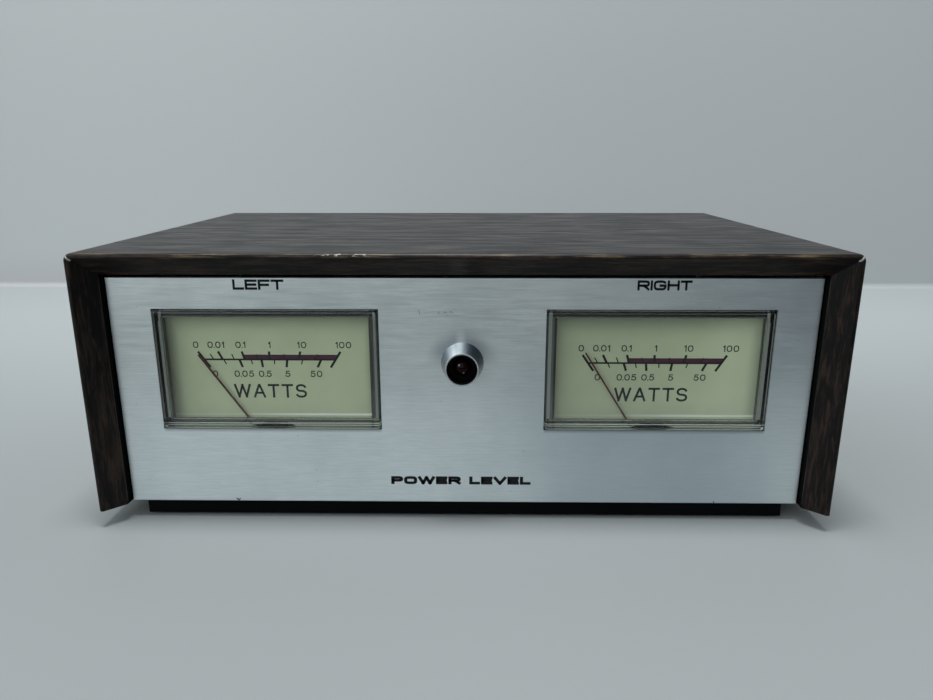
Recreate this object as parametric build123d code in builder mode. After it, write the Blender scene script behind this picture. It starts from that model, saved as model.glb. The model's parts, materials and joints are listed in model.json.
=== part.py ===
from build123d import *
import math
import os

# A stereo power meter: a folded woodgrain cabinet over a steel tray, with two moving-coil
# meters and a pilot lamp in an aluminium front panel.
# The origin is on the floor under the middle of the footprint. X runs to the right seen from
# the front, Y runs from the front to the back and Z runs up. Sizes are in millimetres.
# A size called a depth is counted from the cabinet's front edge towards the back.

# Cabinet
cabinet_width = 200.0
cabinet_depth = 128.5
cabinet_height = 71.0
side_lift = 5.0
board_thick = 6.0
vinyl_thick = 0.4
bevel_depth = 5.7
fold_radius = 2.0
edge_radius = 0.9
block_leg = 12.0
rail_top = 15.0
block_start = 42.0
rear_setback = 12.0

# Sheet metal
sheet = 1.0
panel_thick = 1.5
panel_recess = 6.7
panel_side_gap = 0.5
panel_top_gap = 1.0
panel_lift = 5.1
panel_chamfer = 0.2
tray_side_gap = 4.0
tray_lift = 0.7
tray_top_gap = 1.5
rear_top_gap = 0.8

# Feet
foot_radius = 7.0
foot_stem_radius = 3.0
foot_catch_radius = 4.0
foot_catch_height = 1.2
foot_side_inset = 16.0
foot_inset = 24.0

# Meter cover
meter_x = 52.2
window_width = 59.6
window_height = 33.1
window_z = 43.75
window_gap = 0.25
cover_proud = 1.0
cover_face_thick = 1.5
cover_wall = 2.0
cover_edge = 0.7
cover_corner = 0.9
flange_side = 2.2
flange_top = 2.5
flange_thick = 1.0
skirt_depth = 8.0
skirt_wall = 1.5

# Meter movement
pivot_z = 18.0
pivot_to_bottom = 14.5
dial_setback = 2.4
dial_thick = 0.6
dial_side_gap = 1.95
dial_cutout_radius = 10.2
rest_angle = {"left": -34.5, "right": -32.3}
base_gap = 0.15
base_depth = 22.0
base_floor = 2.0
base_post = 1.3
hollow_wall = 4.3
hollow_floor = 4.2
cavity_gap = 0.3
core_radius = 6.0
ring_inner_radius = 8.6
ring_outer_radius = 11.2
ring_length = 9.0
coil_inner = 6.6
coil_outer = 7.9
coil_half_thick = 1.0
coil_end_gap = 0.3
coil_end_thick = 0.8
staff_radius = 0.5
staff_length = 2.1
pivot_radius = 0.3
pivot_length = 0.6
pivot_running_gap = 0.05
pivot_end_play = 0.1
jewel_screw_radius = 1.5
bridge_gap = 0.6
bridge_thick = 1.2
bridge_half_width = 2.5
bridge_half_length = 10.8
pillar_x = 9.9
pillar_radius = 1.2
prong_half_width = 1.6
prong_gap = 0.02
prong_inset = 0.4
movement_screw_radius = 0.6
movement_screw_head = 1.1
movement_screw_head_height = 0.4
movement_screw_bite = 1.2
spring_thick = 0.15
spring_wide = 0.3
spring_start_radius = 0.9
spring_pitch = 0.8
spring_half_turns = 7
spring_gap = 0.1
spring_post_radius = 0.5

# Pointer
pointer_hub_radius = 1.6
pointer_hub_thick = 1.0
pointer_sheet = 0.3
pointer_link = 0.8
pointer_link_radius = 8.6
pointer_length = 35.3
pointer_root_width = 0.5
pointer_tip_width = 0.45
pointer_arm_width = 1.1
pointer_dial_gap = 0.7
tail_radius = 6.4
weight_side = 2.4

# Meter fixings
dial_screw_x = 25.0
dial_screw_z = 24.0
dial_screw_radius = 0.8
dial_screw_head = 1.6
dial_screw_head_height = 0.5
dial_screw_length = 4.4
stud_x = 10.0
stud_above_pivot = 14.0
stud_embed = 6.0
stud_length = 13.0
clamp_side = 2.0
clamp_end = 4.0
clamp_half_width = 4.0
clamp_screw_past_nut = 2.4

# Fasteners
m3_radius = 1.5
m3_head_radius = 2.8
m3_head_height = 1.8
m3_length = 5.6
m3_nut_flats = 5.5
m3_nut_height = 2.4
flush_head_radius = 2.6
flush_head_height = 1.1
wood_screw_radius = 1.4
wood_screw_head = 3.0
wood_screw_head_height = 2.0
wood_screw_length = 11.0
tray_screw_length = 11.0
tray_screw_inset = 4.0
m8_radius = 4.0
m8_nut_flats = 11.0
m8_nut_height = 2.0
slot_width = 0.6
slot_share = 0.4
hole_gap = 0.05

# Pilot lamp
lamp_z = 45.9
bezel_base_radius = 5.7
bezel_front_radius = 4.35
bezel_front_depth = 0.2
bezel_mouth_radius = 4.05
bezel_mouth_depth = 4.4
bezel_bore_radius = 3.2
bezel_tail_depth = 17.0
insert_wall = 0.25
insert_floor_depth = 3.6
led_radius = 2.45
led_tip_depth = 1.2
led_collar_radius = 2.9
led_length = 10.0
led_lead_x = 1.27

# Circuit board
board_half_width = 70.0
board_front_gap = 13.8
board_rear_gap = 17.0
board_sheet = 1.6
board_hole_inset = 4.0
standoff_radius = 3.0
standoff_height = 5.0
trimmer_x = 22.0
trimmer_offset = -9.25
trimmer_side = 10.0
trimmer_height = 5.0
wiper_radius = 3.4
wiper_height = 1.3
wiper_stem_radius = 1.2
wiper_stem_length = 2.5
wiper_lift = 0.15
capacitor_spacing = (16.0, 18.0)
capacitor_radius = 4.0
capacitor_height = 12.0
capacitor_groove = 0.35
bank_x = 44.0
resistor_offset = 1.0
resistor_spacing = (14.0, 6.0)
resistor_radius = 1.15
resistor_length = 6.4
diode_offset = -13.0
diode_spacing = 14.0
diode_radius = 0.9
diode_length = 4.2
lead_radius = 0.3
lead_reach = 2.0
part_lift = 0.3
chip_offset = 7.0
chip_length = 9.6
chip_width = 6.4
chip_height = 3.4
chip_pins = 4
chip_pin_pitch = 2.54
chip_pin_width = 0.5
chip_pin_reach = 0.7
chip_stand = 0.5

# Speaker terminals
terminal_x = -32.0
terminal_z = 34.0
terminal_count = 4
terminal_pitch = 13.0
terminal_body_width = 56.0
terminal_body_height = 22.0
terminal_flange_width = 70.0
terminal_flange_height = 26.0
terminal_flange_thick = 2.0
terminal_proud = 5.5
terminal_inside = 12.5
terminal_corner = 0.8
lever_width = 9.4
lever_thick = 3.0
lever_rise = 5.0
lever_pivot_inside = 6.5
lever_reach = 11.0
lever_hub_radius = 2.2
lever_pin_radius = 1.2
lever_pin_length = 11.4
lever_pin_gap = 0.05
lever_round = 0.5
lever_side_gap = 0.3
lever_toe_thick = 2.0
lever_toe_width = 5.0
lever_toe_drop = 7.9
pocket_top = 7.4
pocket_bottom = -0.6
pocket_back = 3.6
toe_slot_width = 6.0
toe_slot_back = 4.2
toe_slot_front = 1.5
contact_room_top = -3.4
contact_room_bottom = -7.8
contact_room_width = 7.0
wire_hole_radius = 1.5
wire_hole_drop = 6.0
wire_hole_length = 6.0
contact_thick = 0.5
contact_width = 5.0
contact_drop = 4.0
contact_tail = 2.5
contact_reach = 9.0
flange_screw_x = 31.6

# Supply socket
jack_x = 38.0
jack_z = 24.0
jack_body_width = 11.0
jack_body_length = 11.0
jack_barrel_proud = 5.0
jack_bore_radius = 2.85
jack_bore_length = 9.5
jack_pin_radius = 1.0
jack_pin_inset = 1.0
jack_wire_x = 2.5

# Wiring
wire_radius = 0.6
front_wire_landing = 4.0
rear_wire_landing = 2.0
bend_share = 0.45

# Places worked out from the sizes
front = -cabinet_depth / 2
cabinet_top = side_lift + cabinet_height
inner_top = cabinet_top - board_thick
inner_half = cabinet_width / 2 - board_thick
panel_half = inner_half - panel_side_gap
panel_top = inner_top - panel_top_gap
tray_half = inner_half - tray_side_gap
tray_floor = tray_lift + sheet
foot_x = tray_half - foot_side_inset
rear_outer = cabinet_depth - rear_setback
rear_inner = rear_outer - sheet
panel_back = panel_recess + panel_thick
wall_back = panel_back + sheet

window_top = window_z + window_height / 2
cover_half = window_width / 2 + flange_side
cover_top = window_top + flange_top
cover_bottom = pivot_z - pivot_to_bottom
cover_front = panel_recess - cover_proud
cover_land = wall_back + flange_thick
skirt_back = wall_back + skirt_depth
base_half = cover_half - skirt_wall - base_gap
base_top = cover_top - skirt_wall - base_gap
base_bottom = cover_bottom + skirt_wall + base_gap
dial_front = wall_back + dial_setback
dial_back = dial_front + dial_thick
base_back = dial_back + base_depth
cavity_back = base_back - base_floor
cavity_radius = ring_outer_radius + cavity_gap
dial_half = base_half - dial_side_gap

rear_bridge_front = cavity_back - bridge_thick
front_bridge_front = dial_back + bridge_gap
front_bridge_back = front_bridge_front + bridge_thick
coil_end_reach = coil_end_gap + coil_end_thick
staff_room = staff_length + coil_end_reach + pivot_length
ring_middle = (front_bridge_back + rear_bridge_front) / 2
ring_front = ring_middle - ring_length / 2
ring_back = ring_middle + ring_length / 2
coil_front = ring_front - coil_end_reach
coil_back = ring_back + coil_end_reach
jewel_front_face = ring_front - staff_room + pivot_length - pivot_end_play
jewel_back_face = ring_back + staff_room - pivot_length + pivot_end_play
hub_back = coil_front - base_gap
hub_front = hub_back - pointer_hub_thick
front_spring_depth = hub_front - spring_gap - spring_wide / 2
rear_spring_depth = coil_back + staff_length / 2
spring_end_radius = spring_start_radius + spring_pitch / 2 * spring_half_turns
spring_post_x = spring_end_radius + spring_thick / 2 + hole_gap + spring_post_radius
needle_back = dial_front - pointer_dial_gap

clamp_back = base_back + sheet
clamp_screw_x = cover_half + clamp_side
clamp_screw_end = clamp_back + m3_nut_height + clamp_screw_past_nut
board_front = base_back + board_front_gap
board_back = rear_inner - board_rear_gap
board_deep = board_back - board_front
board_bottom = tray_floor + standoff_height
board_top = board_bottom + board_sheet
lever_depth = rear_outer - lever_pivot_inside
lever_z = terminal_z + lever_rise
terminal_face = rear_outer + terminal_proud
terminal_back = rear_outer - terminal_inside


def deep(near, far):
    """Y limits of a stretch that lies between two depths."""
    return (front + near, front + far)


def slab(x, y, z, mode=Mode.ADD):
    """Box between the low and high limits given along each axis."""
    with Locations(((x[0] + x[1]) / 2, (y[0] + y[1]) / 2, (z[0] + z[1]) / 2)):
        Box(x[1] - x[0], y[1] - y[0], z[1] - z[0], mode=mode)


def rod_y(x, z, y, radius, mode=Mode.ADD):
    """Round rod along Y between its limits."""
    with Locations(Location((x, (y[0] + y[1]) / 2, z), (90, 0, 0))):
        Cylinder(radius, y[1] - y[0], mode=mode)


def rod_z(x, y, z, radius, mode=Mode.ADD):
    """Round rod along Z between its limits."""
    with Locations((x, y, (z[0] + z[1]) / 2)):
        Cylinder(radius, z[1] - z[0], mode=mode)


def rod_x(y, z, x, radius, mode=Mode.ADD):
    """Round rod along X between its limits."""
    with Locations(Location(((x[0] + x[1]) / 2, y, z), (0, 90, 0))):
        Cylinder(radius, x[1] - x[0], mode=mode)


def about(centre, half):
    """Limits a half width to each side of a centre."""
    return (centre - half, centre + half)


def in_a_row(centre, pitch, count):
    """Evenly spaced places on both sides of a centre."""
    return [centre + (place - (count - 1) / 2) * pitch for place in range(count)]


def facing_front(x, depth, z):
    """Seat whose outward side is the front."""
    return Location((x, front + depth, z), (90, 0, 0))


def facing_back(x, depth, z):
    """Seat whose outward side is the back."""
    return Location((x, front + depth, z), (-90, 0, 0))


def facing_down(x, y, z):
    """Seat whose outward side is the floor."""
    return Location((x, y, z), (180, 0, 0))


def save(piece, label):
    """Label a finished piece and write it out."""
    piece.part.label = label
    export_step(piece.part, f"parts/{label}.step")


def pan_screw(head_radius, head_height, radius, length):
    """Slotted screw whose head stands on Z zero and whose shank runs down."""
    with BuildPart() as screw:
        Cylinder(head_radius, head_height, align=(Align.CENTER, Align.CENTER, Align.MIN))
        Cylinder(radius, length, align=(Align.CENTER, Align.CENTER, Align.MAX))
        with Locations((0, 0, head_height)):
            Box(slot_width, 2 * head_radius, 2 * head_height * slot_share, mode=Mode.SUBTRACT)
    return screw.part


def flush_screw(head_radius, head_height, radius, length):
    """Slotted countersunk screw whose head is level with Z zero and whose shank runs down."""
    with BuildPart() as screw:
        Cone(radius, head_radius, head_height, align=(Align.CENTER, Align.CENTER, Align.MAX))
        Cylinder(radius, length, align=(Align.CENTER, Align.CENTER, Align.MAX))
        Box(slot_width, 2 * head_radius, 2 * head_height * slot_share, mode=Mode.SUBTRACT)
    return screw.part


def flush_hole(head_radius, head_height, radius, length):
    """Cutter for a flush screw, wider than the screw by the hole's gap."""
    with BuildPart() as cutter:
        Cone(
            radius + hole_gap,
            head_radius + hole_gap,
            head_height,
            align=(Align.CENTER, Align.CENTER, Align.MAX),
        )
        Cylinder(radius + hole_gap, length, align=(Align.CENTER, Align.CENTER, Align.MAX))
    return cutter.part


def hex_nut(flats, height, radius):
    """Nut that stands on Z zero."""
    with BuildPart() as nut:
        with BuildSketch():
            RegularPolygon(flats / 2, 6, major_radius=False)
            Circle(radius + hole_gap, mode=Mode.SUBTRACT)
        extrude(amount=height)
    return nut.part


os.makedirs("parts", exist_ok=True)

m3_screw = pan_screw(m3_head_radius, m3_head_height, m3_radius, m3_length)
m3_nut = hex_nut(m3_nut_flats, m3_nut_height, m3_radius)
m8_nut = hex_nut(m8_nut_flats, m8_nut_height, m8_radius)


# Cabinet boards and their vinyl

bevel_slope = bevel_depth / board_thick
edge_loss = edge_radius * (bevel_slope + math.hypot(1, bevel_slope) - 1)
core_bevel_start = vinyl_thick * math.hypot(1, bevel_slope)


def bevel_cutter(start):
    """Tapered opening whose walls are the front bevels, mitred at the corners."""
    low = -cabinet_height
    mouth = front - edge_loss + start
    with BuildPart() as cutter:
        with BuildSketch(Plane.XZ.offset(-mouth)):
            with Locations((0, (cabinet_top + low) / 2)):
                Rectangle(cabinet_width, cabinet_top - low)
        with BuildSketch(Plane.XZ.offset(-(mouth + bevel_depth))):
            with Locations((0, (inner_top + low) / 2)):
                Rectangle(2 * inner_half, inner_top - low)
        loft(ruled=True)
    return cutter.part


def folded_shell(skin, start):
    """Top and both sides in one, whose outer faces lie a skin's thickness inside the cabinet's."""
    outer_half = cabinet_width / 2 - skin
    with BuildPart() as shell:
        slab(
            (-outer_half, outer_half), deep(skin, cabinet_depth), (side_lift, cabinet_top - skin)
        )
        folds = shell.edges().filter_by(Axis.Y).group_by(Axis.Z)[-1]
        fillet(folds, radius=fold_radius - skin)
        nose = shell.faces().sort_by(Axis.Y)[0]
        fillet(nose.edges().sort_by(Axis.Z)[1:], radius=edge_radius - skin)
        slab(
            (-inner_half, inner_half), deep(0, cabinet_depth), (side_lift, inner_top), Mode.SUBTRACT
        )
        add(bevel_cutter(start), mode=Mode.SUBTRACT)
    return shell.part


wood_core = folded_shell(vinyl_thick, core_bevel_start)

with BuildPart() as vinyl_wrap:
    add(folded_shell(0, 0))
    add(wood_core, mode=Mode.SUBTRACT)
save(vinyl_wrap, "vinyl_wrap")

mitre_outer = cabinet_width / 2
with BuildPart() as top_wedge:
    with BuildSketch(Plane.XZ.offset(-(front + cabinet_depth))):
        with BuildLine():
            Polyline(
                (-mitre_outer, cabinet_top),
                (mitre_outer, cabinet_top),
                (inner_half, inner_top),
                (-inner_half, inner_top),
                close=True,
            )
        make_face()
    extrude(amount=cabinet_depth)

with BuildPart() as cabinet_top_board:
    add(wood_core)
    add(top_wedge.part, mode=Mode.INTERSECT)
save(cabinet_top_board, "cabinet_top")

block_y = deep(block_start, rear_inner)
wood_screw_spots = []
for side in (-1, 1):
    wood_screw_spots.append((side * (inner_half - block_leg / 3), inner_top - block_leg / 3))
    wood_screw_spots.append((side * (inner_half - block_leg / 2), (rail_top + tray_floor) / 2))
tray_screw_y = (front + cabinet_depth / 2, front + rear_inner - 2 * block_leg)
tray_screw_x = tray_half - tray_screw_inset

for name, side in (("left", -1), ("right", 1)):
    with BuildPart() as side_board:
        add(wood_core)
        add(top_wedge.part, mode=Mode.SUBTRACT)
        slab(
            sorted((0, -side * cabinet_width)),
            deep(0, cabinet_depth),
            (0, cabinet_top),
            Mode.SUBTRACT,
        )
    save(side_board, f"cabinet_side_{name}")

with BuildPart() as glue_blocks:
    for side in (-1, 1):
        with BuildSketch(Plane.XZ.offset(-block_y[1])):
            with BuildLine():
                Polyline(
                    (side * inner_half, inner_top),
                    (side * (inner_half - block_leg), inner_top),
                    (side * inner_half, inner_top - block_leg),
                    close=True,
                )
            make_face()
        extrude(amount=block_y[1] - block_y[0])
        rail_x = sorted((side * inner_half, side * (inner_half - block_leg)))
        slab(rail_x, block_y, (tray_floor, rail_top))
    for x, z in wood_screw_spots:
        end = rear_outer - wood_screw_length - hole_gap
        rod_y(x, z, deep(end, rear_inner), wood_screw_radius + hole_gap, Mode.SUBTRACT)
    for x in (-tray_screw_x, tray_screw_x):
        for y in tray_screw_y:
            with Locations(facing_down(x, y, tray_lift)):
                add(
                    flush_hole(
                        flush_head_radius,
                        flush_head_height,
                        wood_screw_radius,
                        tray_screw_length + hole_gap,
                    ),
                    mode=Mode.SUBTRACT,
                )
save(glue_blocks, "glue_blocks")


# Front panel, tray, rear panel and feet

window_x = (-meter_x, meter_x)
foot_spots = []
for x in (-foot_x, foot_x):
    for depth in (foot_inset, cabinet_depth - foot_inset):
        foot_spots.append((x, front + depth))

with BuildPart() as front_panel:
    slab(about(0, panel_half), deep(panel_recess, panel_back), (panel_lift, panel_top))
    chamfer(front_panel.faces().sort_by(Axis.Y)[0].edges(), length=panel_chamfer)
    for x in window_x:
        slab(
            about(x, window_width / 2 + window_gap),
            deep(panel_recess, panel_back),
            about(window_z, window_height / 2 + window_gap),
            Mode.SUBTRACT,
        )
    rod_y(0, lamp_z, deep(panel_recess, panel_back), m8_radius + hole_gap, Mode.SUBTRACT)
save(front_panel, "front_panel")

clamp_spots = []
for x in window_x:
    for side in (-1, 1):
        clamp_spots.append(x + side * clamp_screw_x)

with BuildPart() as chassis_tray:
    slab(about(0, tray_half), deep(panel_back, rear_outer), (tray_lift, tray_floor))
    slab(about(0, tray_half), deep(panel_back, wall_back), (tray_lift, inner_top - tray_top_gap))
    for x in window_x:
        slab(
            about(x, window_width / 2 + window_gap),
            deep(panel_back, wall_back),
            about(window_z, window_height / 2 + window_gap),
            Mode.SUBTRACT,
        )
    rod_y(0, lamp_z, deep(panel_back, wall_back), m8_radius + hole_gap, Mode.SUBTRACT)
    clamp_hole = flush_hole(flush_head_radius, flush_head_height, m3_radius, 2 * sheet)
    for x in clamp_spots:
        with Locations(facing_front(x, panel_back, window_z)):
            add(clamp_hole, mode=Mode.SUBTRACT)
    tray_hole = flush_hole(flush_head_radius, flush_head_height, wood_screw_radius, 2 * sheet)
    for x in (-tray_screw_x, tray_screw_x):
        for y in tray_screw_y:
            with Locations(facing_down(x, y, tray_lift)):
                add(tray_hole, mode=Mode.SUBTRACT)
    for x, y in foot_spots:
        rod_z(x, y, (tray_lift, tray_floor), foot_stem_radius + hole_gap, Mode.SUBTRACT)
save(chassis_tray, "chassis_tray")

terminal_spots = in_a_row(terminal_x, terminal_pitch, terminal_count)
flange_screw_spots = (terminal_x - flange_screw_x, terminal_x + flange_screw_x)

with BuildPart() as rear_panel:
    slab(about(0, panel_half), deep(rear_inner, rear_outer), (tray_floor, inner_top - rear_top_gap))
    slab(
        about(terminal_x, terminal_body_width / 2 + window_gap),
        deep(rear_inner, rear_outer),
        about(terminal_z, terminal_body_height / 2 + window_gap),
        Mode.SUBTRACT,
    )
    rod_y(jack_x, jack_z, deep(rear_inner, rear_outer), m8_radius + hole_gap, Mode.SUBTRACT)
    for x, z in wood_screw_spots:
        rod_y(x, z, deep(rear_inner, rear_outer), wood_screw_radius + hole_gap, Mode.SUBTRACT)
    for x in flange_screw_spots:
        rod_y(x, terminal_z, deep(rear_inner, rear_outer), m3_radius + hole_gap, Mode.SUBTRACT)
save(rear_panel, "rear_panel")

with BuildPart() as rear_panel_screws:
    for x, z in wood_screw_spots:
        with Locations(facing_back(x, rear_outer, z)):
            add(
                pan_screw(
                    wood_screw_head, wood_screw_head_height, wood_screw_radius, wood_screw_length
                )
            )
save(rear_panel_screws, "rear_panel_screws")

with BuildPart() as tray_screws:
    for x in (-tray_screw_x, tray_screw_x):
        for y in tray_screw_y:
            with Locations(facing_down(x, y, tray_lift)):
                add(
                    flush_screw(
                        flush_head_radius, flush_head_height, wood_screw_radius, tray_screw_length
                    )
                )
save(tray_screws, "tray_screws")

with BuildPart() as feet:
    for x, y in foot_spots:
        rod_z(x, y, (0, tray_lift), foot_radius)
        rod_z(x, y, (tray_lift, tray_floor), foot_stem_radius)
        rod_z(x, y, (tray_floor, tray_floor + foot_catch_height), foot_catch_radius)
save(feet, "feet")


# Pilot lamp

def turned(points):
    """Solid of revolution about the lamp's axis from radius and depth pairs."""
    with BuildPart() as piece:
        with BuildSketch(Plane(origin=(0, front, lamp_z), x_dir=(1, 0, 0), z_dir=(0, 0, -1))):
            with BuildLine():
                Polyline(*[(radius, -depth) for radius, depth in points], close=True)
            make_face()
        revolve(axis=Axis((0, front, lamp_z), (0, 1, 0)))
    return piece.part


with BuildPart() as lamp_bezel:
    add(
        turned(
            (
                (bezel_mouth_radius, bezel_front_depth),
                (bezel_front_radius, bezel_front_depth),
                (bezel_base_radius, panel_recess),
                (m8_radius, panel_recess),
                (m8_radius, bezel_tail_depth),
                (bezel_bore_radius, bezel_tail_depth),
                (bezel_bore_radius, bezel_mouth_depth),
                (bezel_mouth_radius, bezel_mouth_depth),
            )
        )
    )
save(lamp_bezel, "lamp_bezel")

insert_outer = bezel_mouth_radius - hole_gap
insert_tail = bezel_bore_radius - hole_gap
with BuildPart() as lamp_insert:
    add(
        turned(
            (
                (insert_outer - insert_wall, bezel_front_depth + insert_wall),
                (insert_outer, bezel_front_depth + insert_wall),
                (insert_outer, bezel_mouth_depth),
                (insert_tail, bezel_mouth_depth),
                (insert_tail, insert_floor_depth + led_length),
                (led_collar_radius + hole_gap, insert_floor_depth + led_length),
                (led_collar_radius + hole_gap, bezel_mouth_depth),
                (led_radius + hole_gap, bezel_mouth_depth),
                (led_radius + hole_gap, insert_floor_depth),
                (insert_outer - insert_wall, insert_floor_depth),
            )
        )
    )
save(lamp_insert, "lamp_insert")

led_dome_depth = led_tip_depth + led_radius
led_back = bezel_mouth_depth + led_length / 2
with BuildPart() as led:
    with Locations((0, front + led_dome_depth, lamp_z)):
        Sphere(led_radius)
    rod_y(0, lamp_z, deep(led_dome_depth, led_back), led_radius)
    rod_y(0, lamp_z, deep(bezel_mouth_depth + hole_gap, led_back), led_collar_radius)
    for x in (-led_lead_x, led_lead_x):
        rod_y(x, lamp_z, deep(led_back, bezel_tail_depth), wire_radius)
save(led, "led")

with BuildPart() as panel_nuts:
    with Locations(facing_back(0, wall_back, lamp_z), facing_back(jack_x, rear_outer, jack_z)):
        add(m8_nut)
save(panel_nuts, "panel_nuts")


# Meters

def swing_plane(x, depth, angle):
    """Plane across the pivot's axis whose Y points along a pointer at this angle."""
    turn = math.radians(angle)
    return Plane(
        origin=(x, front + depth, pivot_z),
        x_dir=(math.cos(turn), 0, -math.sin(turn)),
        z_dir=(0, -1, 0),
    )


def meter_cover(x):
    """Clear moulding with a raised window and a skirt behind the panel."""
    half = (window_width / 2, window_height / 2)
    with BuildPart() as cover:
        slab(about(x, half[0]), deep(cover_front, cover_land), about(window_z, half[1]))
        fillet(cover.edges().filter_by(Axis.Y), radius=cover_corner)
        fillet(cover.faces().sort_by(Axis.Y)[0].edges(), radius=cover_edge)
        slab(about(x, cover_half), deep(wall_back, skirt_back), (cover_bottom, cover_top))
        slab(
            about(x, half[0] - cover_wall),
            deep(cover_front + cover_face_thick, cover_land),
            about(window_z, half[1] - cover_wall),
            Mode.SUBTRACT,
        )
        slab(
            about(x, cover_half - skirt_wall),
            deep(cover_land, skirt_back),
            (cover_bottom + skirt_wall, cover_top - skirt_wall),
            Mode.SUBTRACT,
        )
    return cover


def meter_base(x):
    """Moulded body with a round cavity for the movement and posts that meet the cover."""
    with BuildPart() as base:
        slab(about(x, base_half), deep(dial_back, base_back), (base_bottom, base_top))
        rod_y(x, pivot_z, deep(dial_back, cavity_back), cavity_radius, Mode.SUBTRACT)
        slab(
            about(x, base_half - hollow_wall),
            deep(dial_back, base_back - hollow_floor),
            (pivot_z + stud_above_pivot + hollow_floor, base_top - hollow_wall),
            Mode.SUBTRACT,
        )
        for side in (-1, 1):
            corner_x = sorted((x + side * base_half, x + side * (base_half - base_post)))
            slab(corner_x, deep(cover_land, dial_back), (base_top - hollow_wall, base_top))
            slab(corner_x, deep(cover_land, dial_back), (base_bottom, base_bottom + hollow_wall))
            stud = x + side * stud_x
            embed = base_back - stud_embed - hole_gap
            rod_y(
                stud,
                pivot_z + stud_above_pivot,
                deep(embed, base_back),
                m3_radius + hole_gap,
                Mode.SUBTRACT,
            )
            rod_y(
                x + side * dial_screw_x,
                dial_screw_z,
                deep(dial_back, dial_front + dial_screw_length + hole_gap),
                dial_screw_radius + hole_gap,
                Mode.SUBTRACT,
            )
            rod_y(
                x + side * pillar_x,
                pivot_z,
                deep(cavity_back, cavity_back + movement_screw_bite + hole_gap),
                movement_screw_radius + hole_gap,
                Mode.SUBTRACT,
            )
    return base


def dial_plate(x):
    """Thin plate with an arch below that the pointer comes out of."""
    with BuildPart() as plate:
        slab(
            about(x, dial_half),
            deep(dial_front, dial_back),
            (base_bottom + base_post, base_top - base_post),
        )
        rod_y(x, pivot_z, deep(dial_front, dial_back), dial_cutout_radius, Mode.SUBTRACT)
        slab(
            about(x, dial_cutout_radius),
            deep(dial_front, dial_back),
            (base_bottom, pivot_z),
            Mode.SUBTRACT,
        )
        for side in (-1, 1):
            rod_y(
                x + side * dial_screw_x,
                dial_screw_z,
                deep(dial_front, dial_back),
                dial_screw_radius + hole_gap,
                Mode.SUBTRACT,
            )
    return plate


def front_bridge(x):
    """Strap on two pillars that holds the front jewel screw and the front spring's post."""
    with BuildPart() as bridge:
        slab(
            about(x, bridge_half_length),
            deep(front_bridge_front, front_bridge_back),
            about(pivot_z, bridge_half_width),
        )
        for side in (-1, 1):
            rod_y(x + side * pillar_x, pivot_z, deep(front_bridge_back, ring_front), pillar_radius)
        post_end = front_spring_depth + spring_wide / 2
        rod_y(x - spring_post_x, pivot_z, deep(front_bridge_back, post_end), spring_post_radius)
        for side in (-1, 1):
            rod_y(
                x + side * pillar_x,
                pivot_z,
                deep(front_bridge_front, ring_front),
                movement_screw_radius + hole_gap,
                Mode.SUBTRACT,
            )
        rod_y(
            x,
            pivot_z,
            deep(front_bridge_front, front_bridge_back),
            jewel_screw_radius + hole_gap,
            Mode.SUBTRACT,
        )
    return bridge


def rear_bridge(x):
    """Disc with pillars behind the ring and two prongs that hold the core inside it."""
    prong_limits = (core_radius + prong_gap, ring_inner_radius - prong_gap)
    with BuildPart() as bridge:
        rod_y(x, pivot_z, deep(ring_front + prong_inset, cavity_back), prong_limits[1])
        rod_y(
            x, pivot_z, deep(ring_front + prong_inset, cavity_back), prong_limits[0], Mode.SUBTRACT
        )
        slab(
            about(x, prong_half_width),
            deep(ring_front, cavity_back),
            about(pivot_z, ring_outer_radius),
            Mode.INTERSECT,
        )
        rod_y(x, pivot_z, deep(rear_bridge_front, cavity_back), ring_outer_radius)
        for side in (-1, 1):
            rod_y(x + side * pillar_x, pivot_z, deep(ring_back, cavity_back), pillar_radius)
        post_end = rear_spring_depth - spring_wide / 2
        rod_y(x - spring_post_x, pivot_z, deep(post_end, cavity_back), spring_post_radius)
        for side in (-1, 1):
            rod_y(
                x + side * pillar_x,
                pivot_z,
                deep(ring_back, cavity_back),
                movement_screw_radius + hole_gap,
                Mode.SUBTRACT,
            )
        rod_y(
            x,
            pivot_z,
            deep(rear_bridge_front, cavity_back),
            jewel_screw_radius + hole_gap,
            Mode.SUBTRACT,
        )
    return bridge


def flux_ring(x):
    """Soft iron ring round the core, drilled for the two long screws."""
    with BuildPart() as ring:
        rod_y(x, pivot_z, deep(ring_front, ring_back), ring_outer_radius)
        rod_y(x, pivot_z, deep(ring_front, ring_back), ring_inner_radius, Mode.SUBTRACT)
        for side in (-1, 1):
            rod_y(
                x + side * pillar_x,
                pivot_z,
                deep(ring_front, ring_back),
                movement_screw_radius + hole_gap,
                Mode.SUBTRACT,
            )
    return ring


def moving_coil(x, angle):
    """Rectangular winding round the core, with the staff that it turns on."""
    with BuildPart() as coil:
        with BuildSketch(swing_plane(x, coil_back, angle)):
            Rectangle(2 * coil_outer, 2 * coil_half_thick)
        extrude(amount=coil_back - coil_front)
        with BuildSketch(swing_plane(x, coil_back - coil_end_thick, angle)):
            Rectangle(2 * coil_inner, 2 * coil_half_thick)
        extrude(amount=coil_back - coil_front - 2 * coil_end_thick, mode=Mode.SUBTRACT)
        rod_y(x, pivot_z, deep(coil_front - staff_length, coil_front), staff_radius)
        rod_y(x, pivot_z, deep(coil_back, coil_back + staff_length), staff_radius)
        tips = staff_length + pivot_length
        rod_y(x, pivot_z, deep(coil_front - tips, coil_front - staff_length), pivot_radius)
        rod_y(x, pivot_z, deep(coil_back + staff_length, coil_back + tips), pivot_radius)
    return coil


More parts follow.
